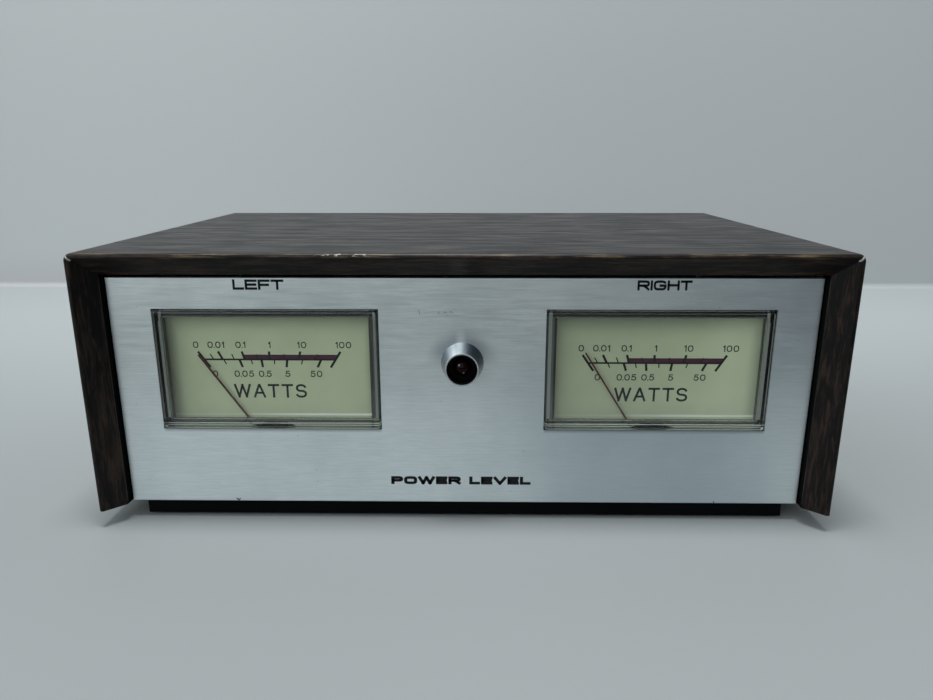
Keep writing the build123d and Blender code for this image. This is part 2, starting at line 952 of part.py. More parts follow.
def pointer(x, angle):
    """Needle with a link back through the dial's arch, a hub and a balanced tail."""
    with BuildPart() as needle:
        with BuildSketch(swing_plane(x, needle_back, angle)):
            with BuildLine():
                Polyline(
                    (-pointer_root_width / 2, pointer_link_radius - pointer_link / 2),
                    (pointer_root_width / 2, pointer_link_radius - pointer_link / 2),
                    (pointer_tip_width / 2, pointer_length),
                    (-pointer_tip_width / 2, pointer_length),
                    close=True,
                )
            make_face()
        extrude(amount=pointer_sheet)
        with BuildSketch(swing_plane(x, hub_back, angle)):
            with Locations((0, pointer_link_radius)):
                Rectangle(pointer_root_width, pointer_link)
        extrude(amount=hub_back - needle_back)
        with BuildSketch(swing_plane(x, hub_back, angle)):
            with Locations((0, (pointer_link_radius - tail_radius) / 2)):
                Rectangle(pointer_arm_width, pointer_link_radius + tail_radius)
        extrude(amount=pointer_sheet)
        rod_y(x, pivot_z, deep(hub_front, hub_back), pointer_hub_radius)
        rod_y(x, pivot_z, deep(hub_front, hub_back), staff_radius + prong_gap, Mode.SUBTRACT)
    turn = math.radians(angle)
    centre = needle.part.center(CenterOf.MASS)
    arm = (centre.X - x) * math.sin(turn) + (centre.Z - pivot_z) * math.cos(turn)
    weight_volume = needle.part.volume * arm / tail_radius
    weight_width = weight_volume / (weight_side * pointer_hub_thick)
    with BuildPart() as balanced:
        add(needle.part)
        with BuildSketch(swing_plane(x, hub_back, angle)):
            with Locations((0, -tail_radius)):
                Rectangle(weight_width, weight_side)
        extrude(amount=pointer_hub_thick)
    return balanced


def spiral(x, depth):
    """Flat spiral strip in half turns that ends beside its post on the bridge."""
    centre = front + depth
    with BuildPart() as strip:
        with BuildLine() as path:
            radius = spring_start_radius
            side = 1
            for turn in range(spring_half_turns):
                wider = radius + spring_pitch / 2
                middle = (radius + wider) / 2
                ThreePointArc(
                    (x + side * radius, centre, pivot_z),
                    (x + side * (radius - middle), centre, pivot_z + side * middle),
                    (x - side * wider, centre, pivot_z),
                )
                radius = wider
                side = -side
        start = path.wires()[0]
        with BuildSketch(Plane(origin=start @ 0, z_dir=start % 0, x_dir=(0, 1, 0))):
            Rectangle(spring_wide, spring_thick)
        sweep(path=path.wires()[0])
    return strip.part


for name, x in (("left", -meter_x), ("right", meter_x)):
    save(meter_cover(x), f"{name}_meter_cover")
    save(meter_base(x), f"{name}_meter_base")
    save(dial_plate(x), f"{name}_dial_plate")
    save(front_bridge(x), f"{name}_front_bridge")
    save(rear_bridge(x), f"{name}_rear_bridge")
    save(flux_ring(x), f"{name}_flux_ring")
    with BuildPart() as magnet_core:
        rod_y(x, pivot_z, deep(ring_front, ring_back), core_radius)
    save(magnet_core, f"{name}_magnet_core")
    save(moving_coil(x, rest_angle[name]), f"{name}_moving_coil")
    save(pointer(x, rest_angle[name]), f"{name}_pointer")
    with BuildPart() as hairsprings:
        add(spiral(x, front_spring_depth))
        add(spiral(x, rear_spring_depth))
    save(hairsprings, f"{name}_hairsprings")

with BuildPart() as movement_screws:
    length = cavity_back + movement_screw_bite - front_bridge_front
    for x in window_x:
        for side in (-1, 1):
            with Locations(facing_front(x + side * pillar_x, front_bridge_front, pivot_z)):
                add(
                    pan_screw(
                        movement_screw_head,
                        movement_screw_head_height,
                        movement_screw_radius,
                        length,
                    )
                )
save(movement_screws, "movement_screws")

with BuildPart() as jewel_screws:
    for x in window_x:
        outer_end = front_bridge_front - movement_screw_head_height
        rod_y(x, pivot_z, deep(outer_end, jewel_front_face), jewel_screw_radius)
        rod_y(x, pivot_z, deep(jewel_back_face, cavity_back), jewel_screw_radius)
        hole = pivot_radius + pivot_running_gap
        hole_length = pivot_length + pivot_end_play
        rod_y(
            x,
            pivot_z,
            deep(jewel_front_face - hole_length, jewel_front_face),
            hole,
            Mode.SUBTRACT,
        )
        rod_y(
            x, pivot_z, deep(jewel_back_face, jewel_back_face + hole_length), hole, Mode.SUBTRACT
        )
save(jewel_screws, "jewel_screws")

with BuildPart() as dial_screws:
    for x in window_x:
        for side in (-1, 1):
            with Locations(facing_front(x + side * dial_screw_x, dial_front, dial_screw_z)):
                add(
                    pan_screw(
                        dial_screw_head,
                        dial_screw_head_height,
                        dial_screw_radius,
                        dial_screw_length,
                    )
                )
save(dial_screws, "dial_screws")

stud_z = pivot_z + stud_above_pivot
stud_start = base_back - stud_embed
stud_end = stud_start + stud_length
stud_spots = []
for x in window_x:
    for side in (-1, 1):
        stud_spots.append(x + side * stud_x)

with BuildPart() as meter_studs:
    for x in stud_spots:
        rod_y(x, stud_z, deep(stud_start, stud_end), m3_radius)
save(meter_studs, "meter_studs")

with BuildPart() as meter_clamps:
    for x in window_x:
        slab(
            about(x, cover_half + clamp_end),
            deep(base_back, clamp_back),
            about(window_z, clamp_half_width),
        )
    for x in clamp_spots:
        rod_y(x, window_z, deep(base_back, clamp_back), m3_radius + hole_gap, Mode.SUBTRACT)
save(meter_clamps, "meter_clamps")

with BuildPart() as clamp_screws:
    for x in clamp_spots:
        with Locations(facing_front(x, panel_back, window_z)):
            add(
                flush_screw(
                    flush_head_radius, flush_head_height, m3_radius, clamp_screw_end - panel_back
                )
            )
save(clamp_screws, "clamp_screws")

with BuildPart() as m3_nuts:
    for x in clamp_spots:
        with Locations(facing_back(x, clamp_back, window_z)):
            add(m3_nut)
    for x in stud_spots:
        with Locations(facing_back(x, base_back, stud_z)):
            add(m3_nut)
    for x in flange_screw_spots:
        with Locations(facing_front(x, rear_inner, terminal_z)):
            add(m3_nut)
save(m3_nuts, "m3_nuts")


# Circuit board

board_middle = front + (board_front + board_back) / 2
board_hole_spacing = (
    2 * (board_half_width - board_hole_inset),
    board_deep - 2 * board_hole_inset,
)
trimmer_y = board_middle + trimmer_offset

with BuildPart() as circuit_board:
    slab(about(0, board_half_width), deep(board_front, board_back), (board_bottom, board_top))
    with Locations((0, board_middle, board_top)):
        with GridLocations(*board_hole_spacing, 2, 2):
            Hole(m3_radius + hole_gap, depth=board_sheet)
save(circuit_board, "circuit_board")

with BuildPart() as board_standoffs:
    with Locations((0, board_middle, tray_floor)):
        with GridLocations(*board_hole_spacing, 2, 2):
            Cylinder(
                standoff_radius, standoff_height, align=(Align.CENTER, Align.CENTER, Align.MIN)
            )
    with Locations((0, board_middle, board_bottom)):
        with GridLocations(*board_hole_spacing, 2, 2):
            Hole(m3_radius + hole_gap, depth=standoff_height)
save(board_standoffs, "board_standoffs")

with BuildPart() as m3_screws:
    with Locations((0, board_middle, board_top)):
        with GridLocations(*board_hole_spacing, 2, 2):
            add(m3_screw)
    for x in flange_screw_spots:
        with Locations(facing_back(x, rear_outer + terminal_flange_thick, terminal_z)):
            add(m3_screw)
save(m3_screws, "m3_screws")

with BuildPart() as trimmer_bodies:
    for x in (-trimmer_x, trimmer_x):
        slab(
            about(x, trimmer_side / 2),
            about(trimmer_y, trimmer_side / 2),
            (board_top, board_top + trimmer_height),
        )
        rod_z(
            x,
            trimmer_y,
            (
                board_top + trimmer_height - wiper_stem_length,
                board_top + trimmer_height,
            ),
            wiper_stem_radius + pivot_running_gap,
            Mode.SUBTRACT,
        )
save(trimmer_bodies, "trimmer_bodies")

for name, x in (("left", -trimmer_x), ("right", trimmer_x)):
    face = board_top + trimmer_height
    with BuildPart() as wiper:
        rod_z(x, trimmer_y, (face + wiper_lift, face + wiper_lift + wiper_height), wiper_radius)
        rod_z(
            x,
            trimmer_y,
            (face + 2 * wiper_lift - wiper_stem_length, face + wiper_lift),
            wiper_stem_radius,
        )
        slab(
            about(x, wiper_radius),
            about(trimmer_y, slot_width / 2),
            (face + wiper_lift + wiper_height / 2, face + wiper_lift + wiper_height),
            Mode.SUBTRACT,
        )
    save(wiper, f"{name}_trimmer_wiper")


def leaded_part(radius, length):
    """Axial part lying on Z zero, with its leads bent down to the board."""
    height = radius + part_lift
    reach = length / 2 + lead_reach
    with BuildPart() as component:
        with Locations(Location((0, 0, height), (0, 90, 0))):
            Cylinder(radius, length)
            Cylinder(lead_radius, 2 * reach + 2 * lead_radius)
        for end in (-reach, reach):
            with Locations((end, 0, height / 2)):
                Cylinder(lead_radius, height)
    return component.part


def row_of(part, centre_x, offset, spacing, counts):
    """Copies of a part in a grid on the board, at an offset behind its middle."""
    with Locations((centre_x, board_middle + offset, board_top)):
        with GridLocations(*spacing, *counts):
            add(part)


resistor = leaded_part(resistor_radius, resistor_length)
diode = leaded_part(diode_radius, diode_length)

with BuildPart() as resistors:
    for x in (-bank_x, bank_x):
        row_of(resistor, x, resistor_offset, resistor_spacing, (2, 4))
save(resistors, "resistors")

with BuildPart() as diodes:
    for x in (-bank_x, bank_x):
        row_of(diode, x, diode_offset, (diode_spacing, diode_spacing), (2, 1))
save(diodes, "diodes")

with BuildPart() as capacitors:
    with Locations((0, board_middle, board_top)):
        with GridLocations(*capacitor_spacing, 2, 2):
            Cylinder(
                capacitor_radius,
                capacitor_height,
                align=(Align.CENTER, Align.CENTER, Align.MIN),
            )
    bottoms = capacitors.edges().filter_by(GeomType.CIRCLE).group_by(Axis.Z)
    fillet(bottoms[-1] + bottoms[0], radius=capacitor_groove)
save(capacitors, "capacitors")

chip_y = board_middle + chip_offset
with BuildPart() as amplifier_chips:
    for x in (-trimmer_x, trimmer_x):
        slab(
            about(x, chip_length / 2),
            about(chip_y, chip_width / 2),
            (board_top + chip_stand, board_top + chip_stand + chip_height),
        )
        for pin_x in in_a_row(x, chip_pin_pitch, chip_pins):
            for side in (-1, 1):
                pin_y = sorted((chip_width / 2, chip_width / 2 + chip_pin_reach))
                slab(
                    about(pin_x, chip_pin_width / 2),
                    sorted((chip_y + side * pin_y[0], chip_y + side * pin_y[1])),
                    (board_top, board_top + chip_stand + chip_height / 2),
                )
save(amplifier_chips, "amplifier_chips")


# Speaker terminals

lever_tip = rear_outer + lever_reach
contact_top = terminal_z - contact_drop + contact_thick / 2

with BuildPart() as terminal_block:
    slab(
        about(terminal_x, terminal_body_width / 2),
        deep(terminal_back, terminal_face),
        about(terminal_z, terminal_body_height / 2),
    )
    fillet(terminal_block.faces().sort_by(Axis.Y)[-1].edges(), radius=terminal_corner)
    slab(
        about(terminal_x, terminal_flange_width / 2),
        deep(rear_outer, rear_outer + terminal_flange_thick),
        about(terminal_z, terminal_flange_height / 2),
    )
    for x in flange_screw_spots:
        rod_y(
            x,
            terminal_z,
            deep(rear_outer, rear_outer + terminal_flange_thick),
            m3_radius + hole_gap,
            Mode.SUBTRACT,
        )
    for x in terminal_spots:
        slab(
            about(x, lever_width / 2 + lever_side_gap),
            deep(lever_depth - pocket_back, terminal_face),
            (terminal_z + pocket_bottom, terminal_z + pocket_top),
            Mode.SUBTRACT,
        )
        rod_x(
            front + lever_depth,
            lever_z,
            about(x, lever_pin_length / 2 + lever_pin_gap),
            lever_pin_radius + lever_pin_gap,
            Mode.SUBTRACT,
        )
        slab(
            about(x, toe_slot_width / 2),
            deep(lever_depth - toe_slot_back, lever_depth + toe_slot_front),
            (terminal_z + contact_room_top, terminal_z + pocket_bottom),
            Mode.SUBTRACT,
        )
        slab(
            about(x, contact_room_width / 2),
            deep(terminal_back, terminal_face - wire_hole_length),
            (terminal_z + contact_room_bottom, terminal_z + contact_room_top),
            Mode.SUBTRACT,
        )
        rod_y(
            x,
            terminal_z - wire_hole_drop,
            deep(terminal_face - wire_hole_length, terminal_face),
            wire_hole_radius,
            Mode.SUBTRACT,
        )
save(terminal_block, "terminal_block")

with BuildPart() as wire_contacts:
    for x in terminal_spots:
        slab(
            about(x, contact_width / 2),
            deep(terminal_back - contact_tail, terminal_back + contact_reach),
            about(terminal_z - contact_drop, contact_thick / 2),
        )
save(wire_contacts, "wire_contacts")

lever_names = ("left_red_lever", "left_black_lever", "right_red_lever", "right_black_lever")
for label, x in zip(lever_names, terminal_spots):
    with BuildPart() as lever:
        slab(
            about(x, lever_width / 2),
            deep(lever_depth, lever_tip),
            about(lever_z, lever_thick / 2),
        )
        fillet(lever.faces().sort_by(Axis.Y)[-1].edges(), radius=lever_round)
        rod_x(front + lever_depth, lever_z, about(x, lever_width / 2), lever_hub_radius)
        rod_x(front + lever_depth, lever_z, about(x, lever_pin_length / 2), lever_pin_radius)
        slab(
            about(x, lever_toe_width / 2),
            deep(lever_depth - lever_toe_thick / 2, lever_depth + lever_toe_thick / 2),
            (lever_z - lever_toe_drop, lever_z),
        )
    save(lever, label)


# Supply socket

jack_back = rear_inner - jack_body_length
jack_face = rear_outer + jack_barrel_proud
with BuildPart() as dc_jack:
    slab(
        about(jack_x, jack_body_width / 2),
        deep(jack_back, rear_inner),
        about(jack_z, jack_body_width / 2),
    )
    rod_y(jack_x, jack_z, deep(rear_inner, jack_face), m8_radius)
    rod_y(
        jack_x, jack_z, deep(jack_face - jack_bore_length, jack_face), jack_bore_radius, Mode.SUBTRACT
    )
    rod_y(
        jack_x,
        jack_z,
        deep(jack_face - jack_bore_length, jack_face - jack_pin_inset),
        jack_pin_radius,
    )
save(dc_jack, "dc_jack")


# Wiring

def bent_wire(x, start, corner, end):
    """Wire in an upright plane: two runs of depth and height joined by one large bend."""
    runs = (math.dist(start, corner), math.dist(corner, end))
    points = [(x, front + depth, z) for depth, z in (start, corner, end)]
    with BuildPart() as wire:
        with BuildLine() as path:
            FilletPolyline(*points, radius=bend_share * min(runs))
        route = path.wires()[0]
        with BuildSketch(Plane(origin=route @ 0, z_dir=route % 0)):
            Circle(wire_radius)
        sweep(path=route)
    return wire.part


front_landing = board_front + front_wire_landing
rear_landing = board_back - rear_wire_landing
with BuildPart() as wiring:
    for x in stud_spots:
        add(bent_wire(x, (stud_end, stud_z), (front_landing, stud_z), (front_landing, board_top)))
    for x in (-led_lead_x, led_lead_x):
        add(
            bent_wire(
                x, (bezel_tail_depth, lamp_z), (front_landing, lamp_z), (front_landing, board_top)
            )
        )
    contact_z = terminal_z - contact_drop
    for x in terminal_spots:
        add(
            bent_wire(
                x,
                (terminal_back - contact_tail, contact_z),
                (rear_landing, contact_z),
                (rear_landing, board_top),
            )
        )
    for x in about(jack_x, jack_wire_x):
        add(
            bent_wire(
                x, (jack_back, jack_z), (rear_landing, jack_z), (rear_landing, board_top)
            )
        )
save(wiring, "wiring")
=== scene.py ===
import bpy
import bmesh
import json
import math
from mathutils import Matrix, Vector


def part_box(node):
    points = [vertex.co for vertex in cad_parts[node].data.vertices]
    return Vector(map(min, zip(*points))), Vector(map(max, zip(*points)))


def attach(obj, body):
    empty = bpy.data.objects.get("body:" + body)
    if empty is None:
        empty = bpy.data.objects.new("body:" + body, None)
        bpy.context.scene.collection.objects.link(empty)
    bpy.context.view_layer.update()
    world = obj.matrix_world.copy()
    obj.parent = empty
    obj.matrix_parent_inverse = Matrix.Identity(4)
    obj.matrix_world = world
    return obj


# Looks of the stereo power meter. Lengths are in metres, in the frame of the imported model:
# X to the right seen from the front, Y from front to back, Z up, with the floor at zero.

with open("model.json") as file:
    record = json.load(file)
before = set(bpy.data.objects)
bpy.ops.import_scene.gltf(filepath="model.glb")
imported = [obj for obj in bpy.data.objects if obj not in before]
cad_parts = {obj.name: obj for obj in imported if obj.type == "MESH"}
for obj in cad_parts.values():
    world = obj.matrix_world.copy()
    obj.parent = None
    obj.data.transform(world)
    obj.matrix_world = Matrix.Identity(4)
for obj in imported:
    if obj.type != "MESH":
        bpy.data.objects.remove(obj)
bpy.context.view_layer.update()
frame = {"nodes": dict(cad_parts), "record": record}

mm = 0.001
scene = bpy.context.scene

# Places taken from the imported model
cabinet_low, cabinet_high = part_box("vinyl_wrap")
front_y = cabinet_low[1]
top_z = cabinet_high[2]
half_width = cabinet_high[0]
panel_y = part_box("front_panel")[0][1]
rear_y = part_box("rear_panel")[1][1]
dial_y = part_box("left_dial_plate")[0][1]
bezel_low, bezel_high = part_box("lamp_bezel")
lamp_x = (bezel_low[0] + bezel_high[0]) / 2
lamp_z = (bezel_low[2] + bezel_high[2]) / 2

# Height of the needles' pivots, and the outline of the clear windows left and right of the middle
pivot_z = 18.0 * mm
window_x = 52.2 * mm
window_z = 43.75 * mm
window_half_width = 29.8 * mm
window_half_height = 16.55 * mm

# Thickness of everything printed
print_thick = 0.02 * mm


def middle_x(node):
    """Centre of a node from left to right."""
    low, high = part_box(node)
    return (low[0] + high[0]) / 2


# Node materials

class Recipe:
    """A node material under construction, round one principled shader."""

    def __init__(self, name, **sockets):
        self.material = bpy.data.materials.new(name)
        self.material.use_nodes = True
        self.nodes = self.material.node_tree.nodes
        self.links = self.material.node_tree.links
        self.shader = self.nodes["Principled BSDF"]
        self.place = self.nodes.new("ShaderNodeTexCoord").outputs["Object"]
        self.set(**sockets)

    def set(self, **sockets):
        """Constants or links on the shader's own sockets, by their names in snake case."""
        for name, value in sockets.items():
            socket_name = name.replace("_", " ").title().replace("Ior", "IOR")
            self.feed(self.shader.inputs[socket_name], value)

    def feed(self, socket, value):
        """Link into a socket, or a constant on it."""
        if isinstance(value, bpy.types.NodeSocket):
            self.links.new(value, socket)
        else:
            socket.default_value = value

    def stretched(self, x, y, z, source=None):
        """Position times a scale along each axis."""
        node = self.nodes.new("ShaderNodeVectorMath")
        node.operation = "MULTIPLY"
        self.feed(node.inputs[0], source or self.place)
        node.inputs[1].default_value = (x, y, z)
        return node.outputs[0]

    def scaled(self, scale):
        """Position times one scale."""
        return self.stretched(scale, scale, scale)

    def noise(self, vector, detail=4.0, roughness=0.55, distortion=0.0):
        node = self.nodes.new("ShaderNodeTexNoise")
        self.feed(node.inputs["Vector"], vector)
        node.inputs["Scale"].default_value = 1.0
        node.inputs["Detail"].default_value = detail
        node.inputs["Roughness"].default_value = roughness
        node.inputs["Distortion"].default_value = distortion
        return node.outputs["Fac"]

    def parts(self):
        """Position along each axis."""
        node = self.nodes.new("ShaderNodeSeparateXYZ")
        self.feed(node.inputs[0], self.place)
        return node.outputs

    def joined(self, x, y, z):
        """Vector from three numbers."""
        node = self.nodes.new("ShaderNodeCombineXYZ")
        for socket, value in zip(node.inputs, (x, y, z)):
            self.feed(socket, value)
        return node.outputs[0]

    def math(self, operation, *values):
        node = self.nodes.new("ShaderNodeMath")
        node.operation = operation
        for socket, value in zip(node.inputs, values):
            self.feed(socket, value)
        return node.outputs[0]

    def folded(self, operation, first, *others):
        """One operation over a row of numbers."""
        for other in others:
            first = self.math(operation, first, other)
        return first

    def times(self, *values):
        """Product of the numbers."""
        return self.folded("MULTIPLY", *values)

    def most(self, *values):
        """Largest of the numbers."""
        return self.folded("MAXIMUM", *values)

    def least(self, *values):
        """Smallest of the numbers."""
        return self.folded("MINIMUM", *values)

    def plus(self, first, second):
        return self.math("ADD", first, second)

    def minus(self, first, second):
        return self.math("SUBTRACT", first, second)

    def gap(self, value, centre):
        """Distance of a value from a centre, on either side."""
        return self.math("ABSOLUTE", self.minus(value, centre))

    def reach(self, first, second):
        """Length of the diagonal over two offsets."""
        return self.math("SQRT", self.plus(self.math("POWER", first, 2.0), self.math("POWER", second, 2.0)))

    def over(self, value, limit):
        """One where a value is above a limit, else zero."""
        return self.math("GREATER_THAN", value, limit)

    def under(self, value, limit):
        """One where a value is below a limit, else zero."""
        return self.math("LESS_THAN", value, limit)

    def between(self, value, low, high):
        """One where a value lies between two limits, else zero."""
        return self.times(self.over(value, low), self.under(value, high))

    def blend(self, share, first, second):
        """Number between two numbers."""
        node = self.nodes.new("ShaderNodeMix")
        for index, value in ((0, share), (2, first), (3, second)):
            self.feed(node.inputs[index], value)
        return node.outputs[0]

    def tint(self, share, first, second):
        """Colour between two colours."""
        node = self.nodes.new("ShaderNodeMix")
        node.data_type = "RGBA"
        self.feed(node.inputs[0], share)
        for index, colour in ((6, first), (7, second)):
            linked = isinstance(colour, bpy.types.NodeSocket)
            self.feed(node.inputs[index], colour if linked else (*colour, 1.0))
        return node.outputs[2]

    def laid(self, colour, coat, *shares):
        """Colour under a coat that covers as much as the product of the shares."""
        return self.tint(self.times(*shares), colour, coat)

    def span(self, value, low, high, to_low=0.0, to_high=1.0):
        """Smooth step of a value between two limits."""
        node = self.nodes.new("ShaderNodeMapRange")
        node.interpolation_type = "SMOOTHSTEP"
        for socket, number in zip(node.inputs, (value, low, high, to_low, to_high)):
            self.feed(socket, number)
        return node.outputs[0]

    def ramp(self, value, *stops):
        """Colour along stops, each a position with its colour."""
        node = self.nodes.new("ShaderNodeValToRGB")
        self.feed(node.inputs[0], value)
        elements = node.color_ramp.elements
        while len(elements) < len(stops):
            elements.new(0.5)
        for element, (position, colour) in zip(elements, stops):
            element.position = position
            element.color = (*colour, 1.0)
        return node.outputs["Color"]

    def bump(self, height, distance, strength):
        node = self.nodes.new("ShaderNodeBump")
        node.inputs["Strength"].default_value = strength
        node.inputs["Distance"].default_value = distance
        self.feed(node.inputs["Height"], height)
        return node.outputs[0]


def woodgrain_vinyl():
    """Dark walnut print whose grain runs across the top and down the sides, worn at the front, with painted
    shade on the side bevels and a painted highlight on the two front corners.
    """
    r = Recipe("woodgrain vinyl", specular_ior_level=0.18)
    pore_black = (0.001, 0.0009, 0.001)
    bare_board = (0.38, 0.36, 0.32)
    rubbed_brown = (0.045, 0.034, 0.025)
    pale_spot_and_highlight = (0.46, 0.48, 0.47)
    side_shade_black = (0.0010, 0.0008, 0.0009)
    warm_blotch = (0.030, 0.0175, 0.0125)
    dark_blotch = (0.0006, 0.0005, 0.0006)
    seam_black = (0.0008, 0.0008, 0.0008)
    chips_x = -30 * mm
    bevel_depth = 5.75 * mm
    bevel_height = 2.0 * mm
    x, y, z = r.parts()
    from_front = r.minus(y, front_y)
    below_top = r.minus(top_z, z)
    inside = r.minus(half_width, r.math("ABSOLUTE", x))
    on_side = r.over(below_top, inside)

    # Figure, streaks and pores of the wood
    grain = r.joined(r.blend(on_side, x, z), y, r.blend(on_side, z, x))
    figure = r.noise(r.stretched(42, 250, 250, grain), 4, 0.6, 0.5)
    streaks = r.noise(r.stretched(85, 1500, 1500, grain), 4, 0.65, 0.4)
    pores = r.span(r.noise(r.stretched(260, 3200, 3200, grain), 2, 0.6), 0.60, 0.70)
    wood = r.plus(r.times(figure, 0.55), r.times(streaks, 0.45))
    colour = r.ramp(
        wood,
        (0.40, (0.0009, 0.0006, 0.0008)),
        (0.48, (0.0036, 0.0022, 0.0021)),
        (0.55, (0.0150, 0.0090, 0.0068)),
        (0.63, (0.0420, 0.0285, 0.0195)),
    )
    colour = r.laid(colour, pore_black, pores, 0.7)

    # Print rubbed tan along the top's front edge
    edge = r.reach(from_front, below_top)
    rub = r.noise(r.stretched(45, 1700, 1700), 4, 0.7)
    spread = r.noise(r.stretched(60, 140, 140), 4, 0.65)
    near_edge = r.span(edge, 1.45 * mm, 0.45 * mm)
    worn = r.times(near_edge, r.span(r.plus(rub, r.times(spread, 0.6)), 0.79, 1.0))
    tan = r.ramp(spread, (0.38, (0.030, 0.020, 0.012)), (0.64, (0.15, 0.112, 0.070)))
    colour = r.laid(colour, tan, worn, 0.85)

    # Chips down to the board in one stretch of that edge, left of the lamp
    flake = r.noise(r.stretched(650, 2200, 2200), 2, 0.5)
    stretch = r.span(r.gap(x, chips_x), 9 * mm, 4 * mm)
    on_corner = r.span(edge, 0.72 * mm, 0.55 * mm)
    colour = r.laid(colour, bare_board, on_corner, r.times(r.span(flake, 0.565, 0.62), stretch))

    # Rubbed front edges of the sides
    side_edge = r.span(r.reach(from_front, inside), 1.6 * mm, 0.5 * mm)
    side_rub = r.span(r.noise(r.stretched(900, 900, 60), 4, 0.6), 0.54, 0.70)
    colour = r.laid(colour, rubbed_brown, r.times(side_edge, side_rub), 0.35)

    # Vinyl torn off the two front corners, where top and sides meet, its pale patch also a painted
    # highlight where the rounded corner catches light
    seam_gap = r.gap(below_top, inside)
    seam_run = r.times(r.plus(below_top, inside), 0.5)
    ragged = r.times(r.minus(r.noise(r.scaled(1500), 2, 0.6), 0.5), 0.4 * mm)
    corner_spot_width = r.span(r.plus(seam_gap, ragged), 0.42 * mm, 0.26 * mm)
    corner_spot_start = r.span(seam_run, 0.62 * mm, 0.78 * mm)
    corner_spot_end = r.times(r.span(seam_run, 1.95 * mm, 1.75 * mm), r.span(from_front, 1.6 * mm, 1.3 * mm))
    colour = r.laid(colour, pale_spot_and_highlight, r.times(corner_spot_width, corner_spot_start), corner_spot_end)

    # Bevel round the front, with painted shade at the sides, blotched, and with a dark seam at each mitre
    painted_side_shade = r.span(from_front, 6.2 * mm, 4.6 * mm, 0.0, 0.42)
    colour = r.laid(colour, side_shade_black, on_side, painted_side_shade)
    on_bevel = r.times(r.under(from_front, bevel_depth), r.over(below_top, bevel_height))
    mottle = r.noise(r.stretched(125, 1000, 1000, grain), 5, 0.7, 0.6)
    unworn = r.times(on_bevel, r.minus(1.0, worn))
    colour = r.laid(colour, warm_blotch, unworn, r.span(mottle, 0.47, 0.66, 0.0, 0.8))
    colour = r.laid(colour, dark_blotch, unworn, r.span(mottle, 0.52, 0.40, 0.0, 0.7))
    seam = r.times(r.span(seam_gap, 0.2 * mm, 0.05 * mm), on_bevel)
    colour = r.laid(colour, seam_black, seam, 0.85)
    r.set(
        base_color=colour,
        roughness=r.span(wood, 0.40, 0.60, 0.43, 0.29),
        normal=r.bump(r.minus(streaks, r.times(pores, 0.5)), 0.04 * mm, 0.4),
    )
    return r.material


def pressed_board():
    """Chipboard, stained black near its cut front edge."""
    r = Recipe("pressed board", roughness=0.85, specular_ior_level=0.08)
    black_stain = (0.0012, 0.0012, 0.0013)
    stain_depth = 9.0 * mm
    stain_fade = 0.5 * mm
    chips = r.noise(r.scaled(500), 6, 0.7)
    wood = r.ramp(chips, (0.35, (0.12, 0.075, 0.04)), (0.55, (0.30, 0.20, 0.11)), (0.7, (0.45, 0.33, 0.2)))
    stained = r.span(r.parts()["Y"], front_y + stain_depth + stain_fade, front_y + stain_depth)
    r.set(base_color=r.tint(stained, wood, black_stain), normal=r.bump(chips, 0.15 * mm, 0.5))
    return r.material


def from_outline(r, x, z):
    """Distance inward from the nearer window's outline: from its sides, its top and its foot."""
    off_x = r.gap(r.math("ABSOLUTE", x), window_x)
    off_z = r.minus(z, window_z)
    side_gap = r.minus(window_half_width, off_x)
    top_gap = r.minus(window_half_height, off_z)
    low_gap = r.plus(window_half_height, off_z)
    return side_gap, top_gap, low_gap


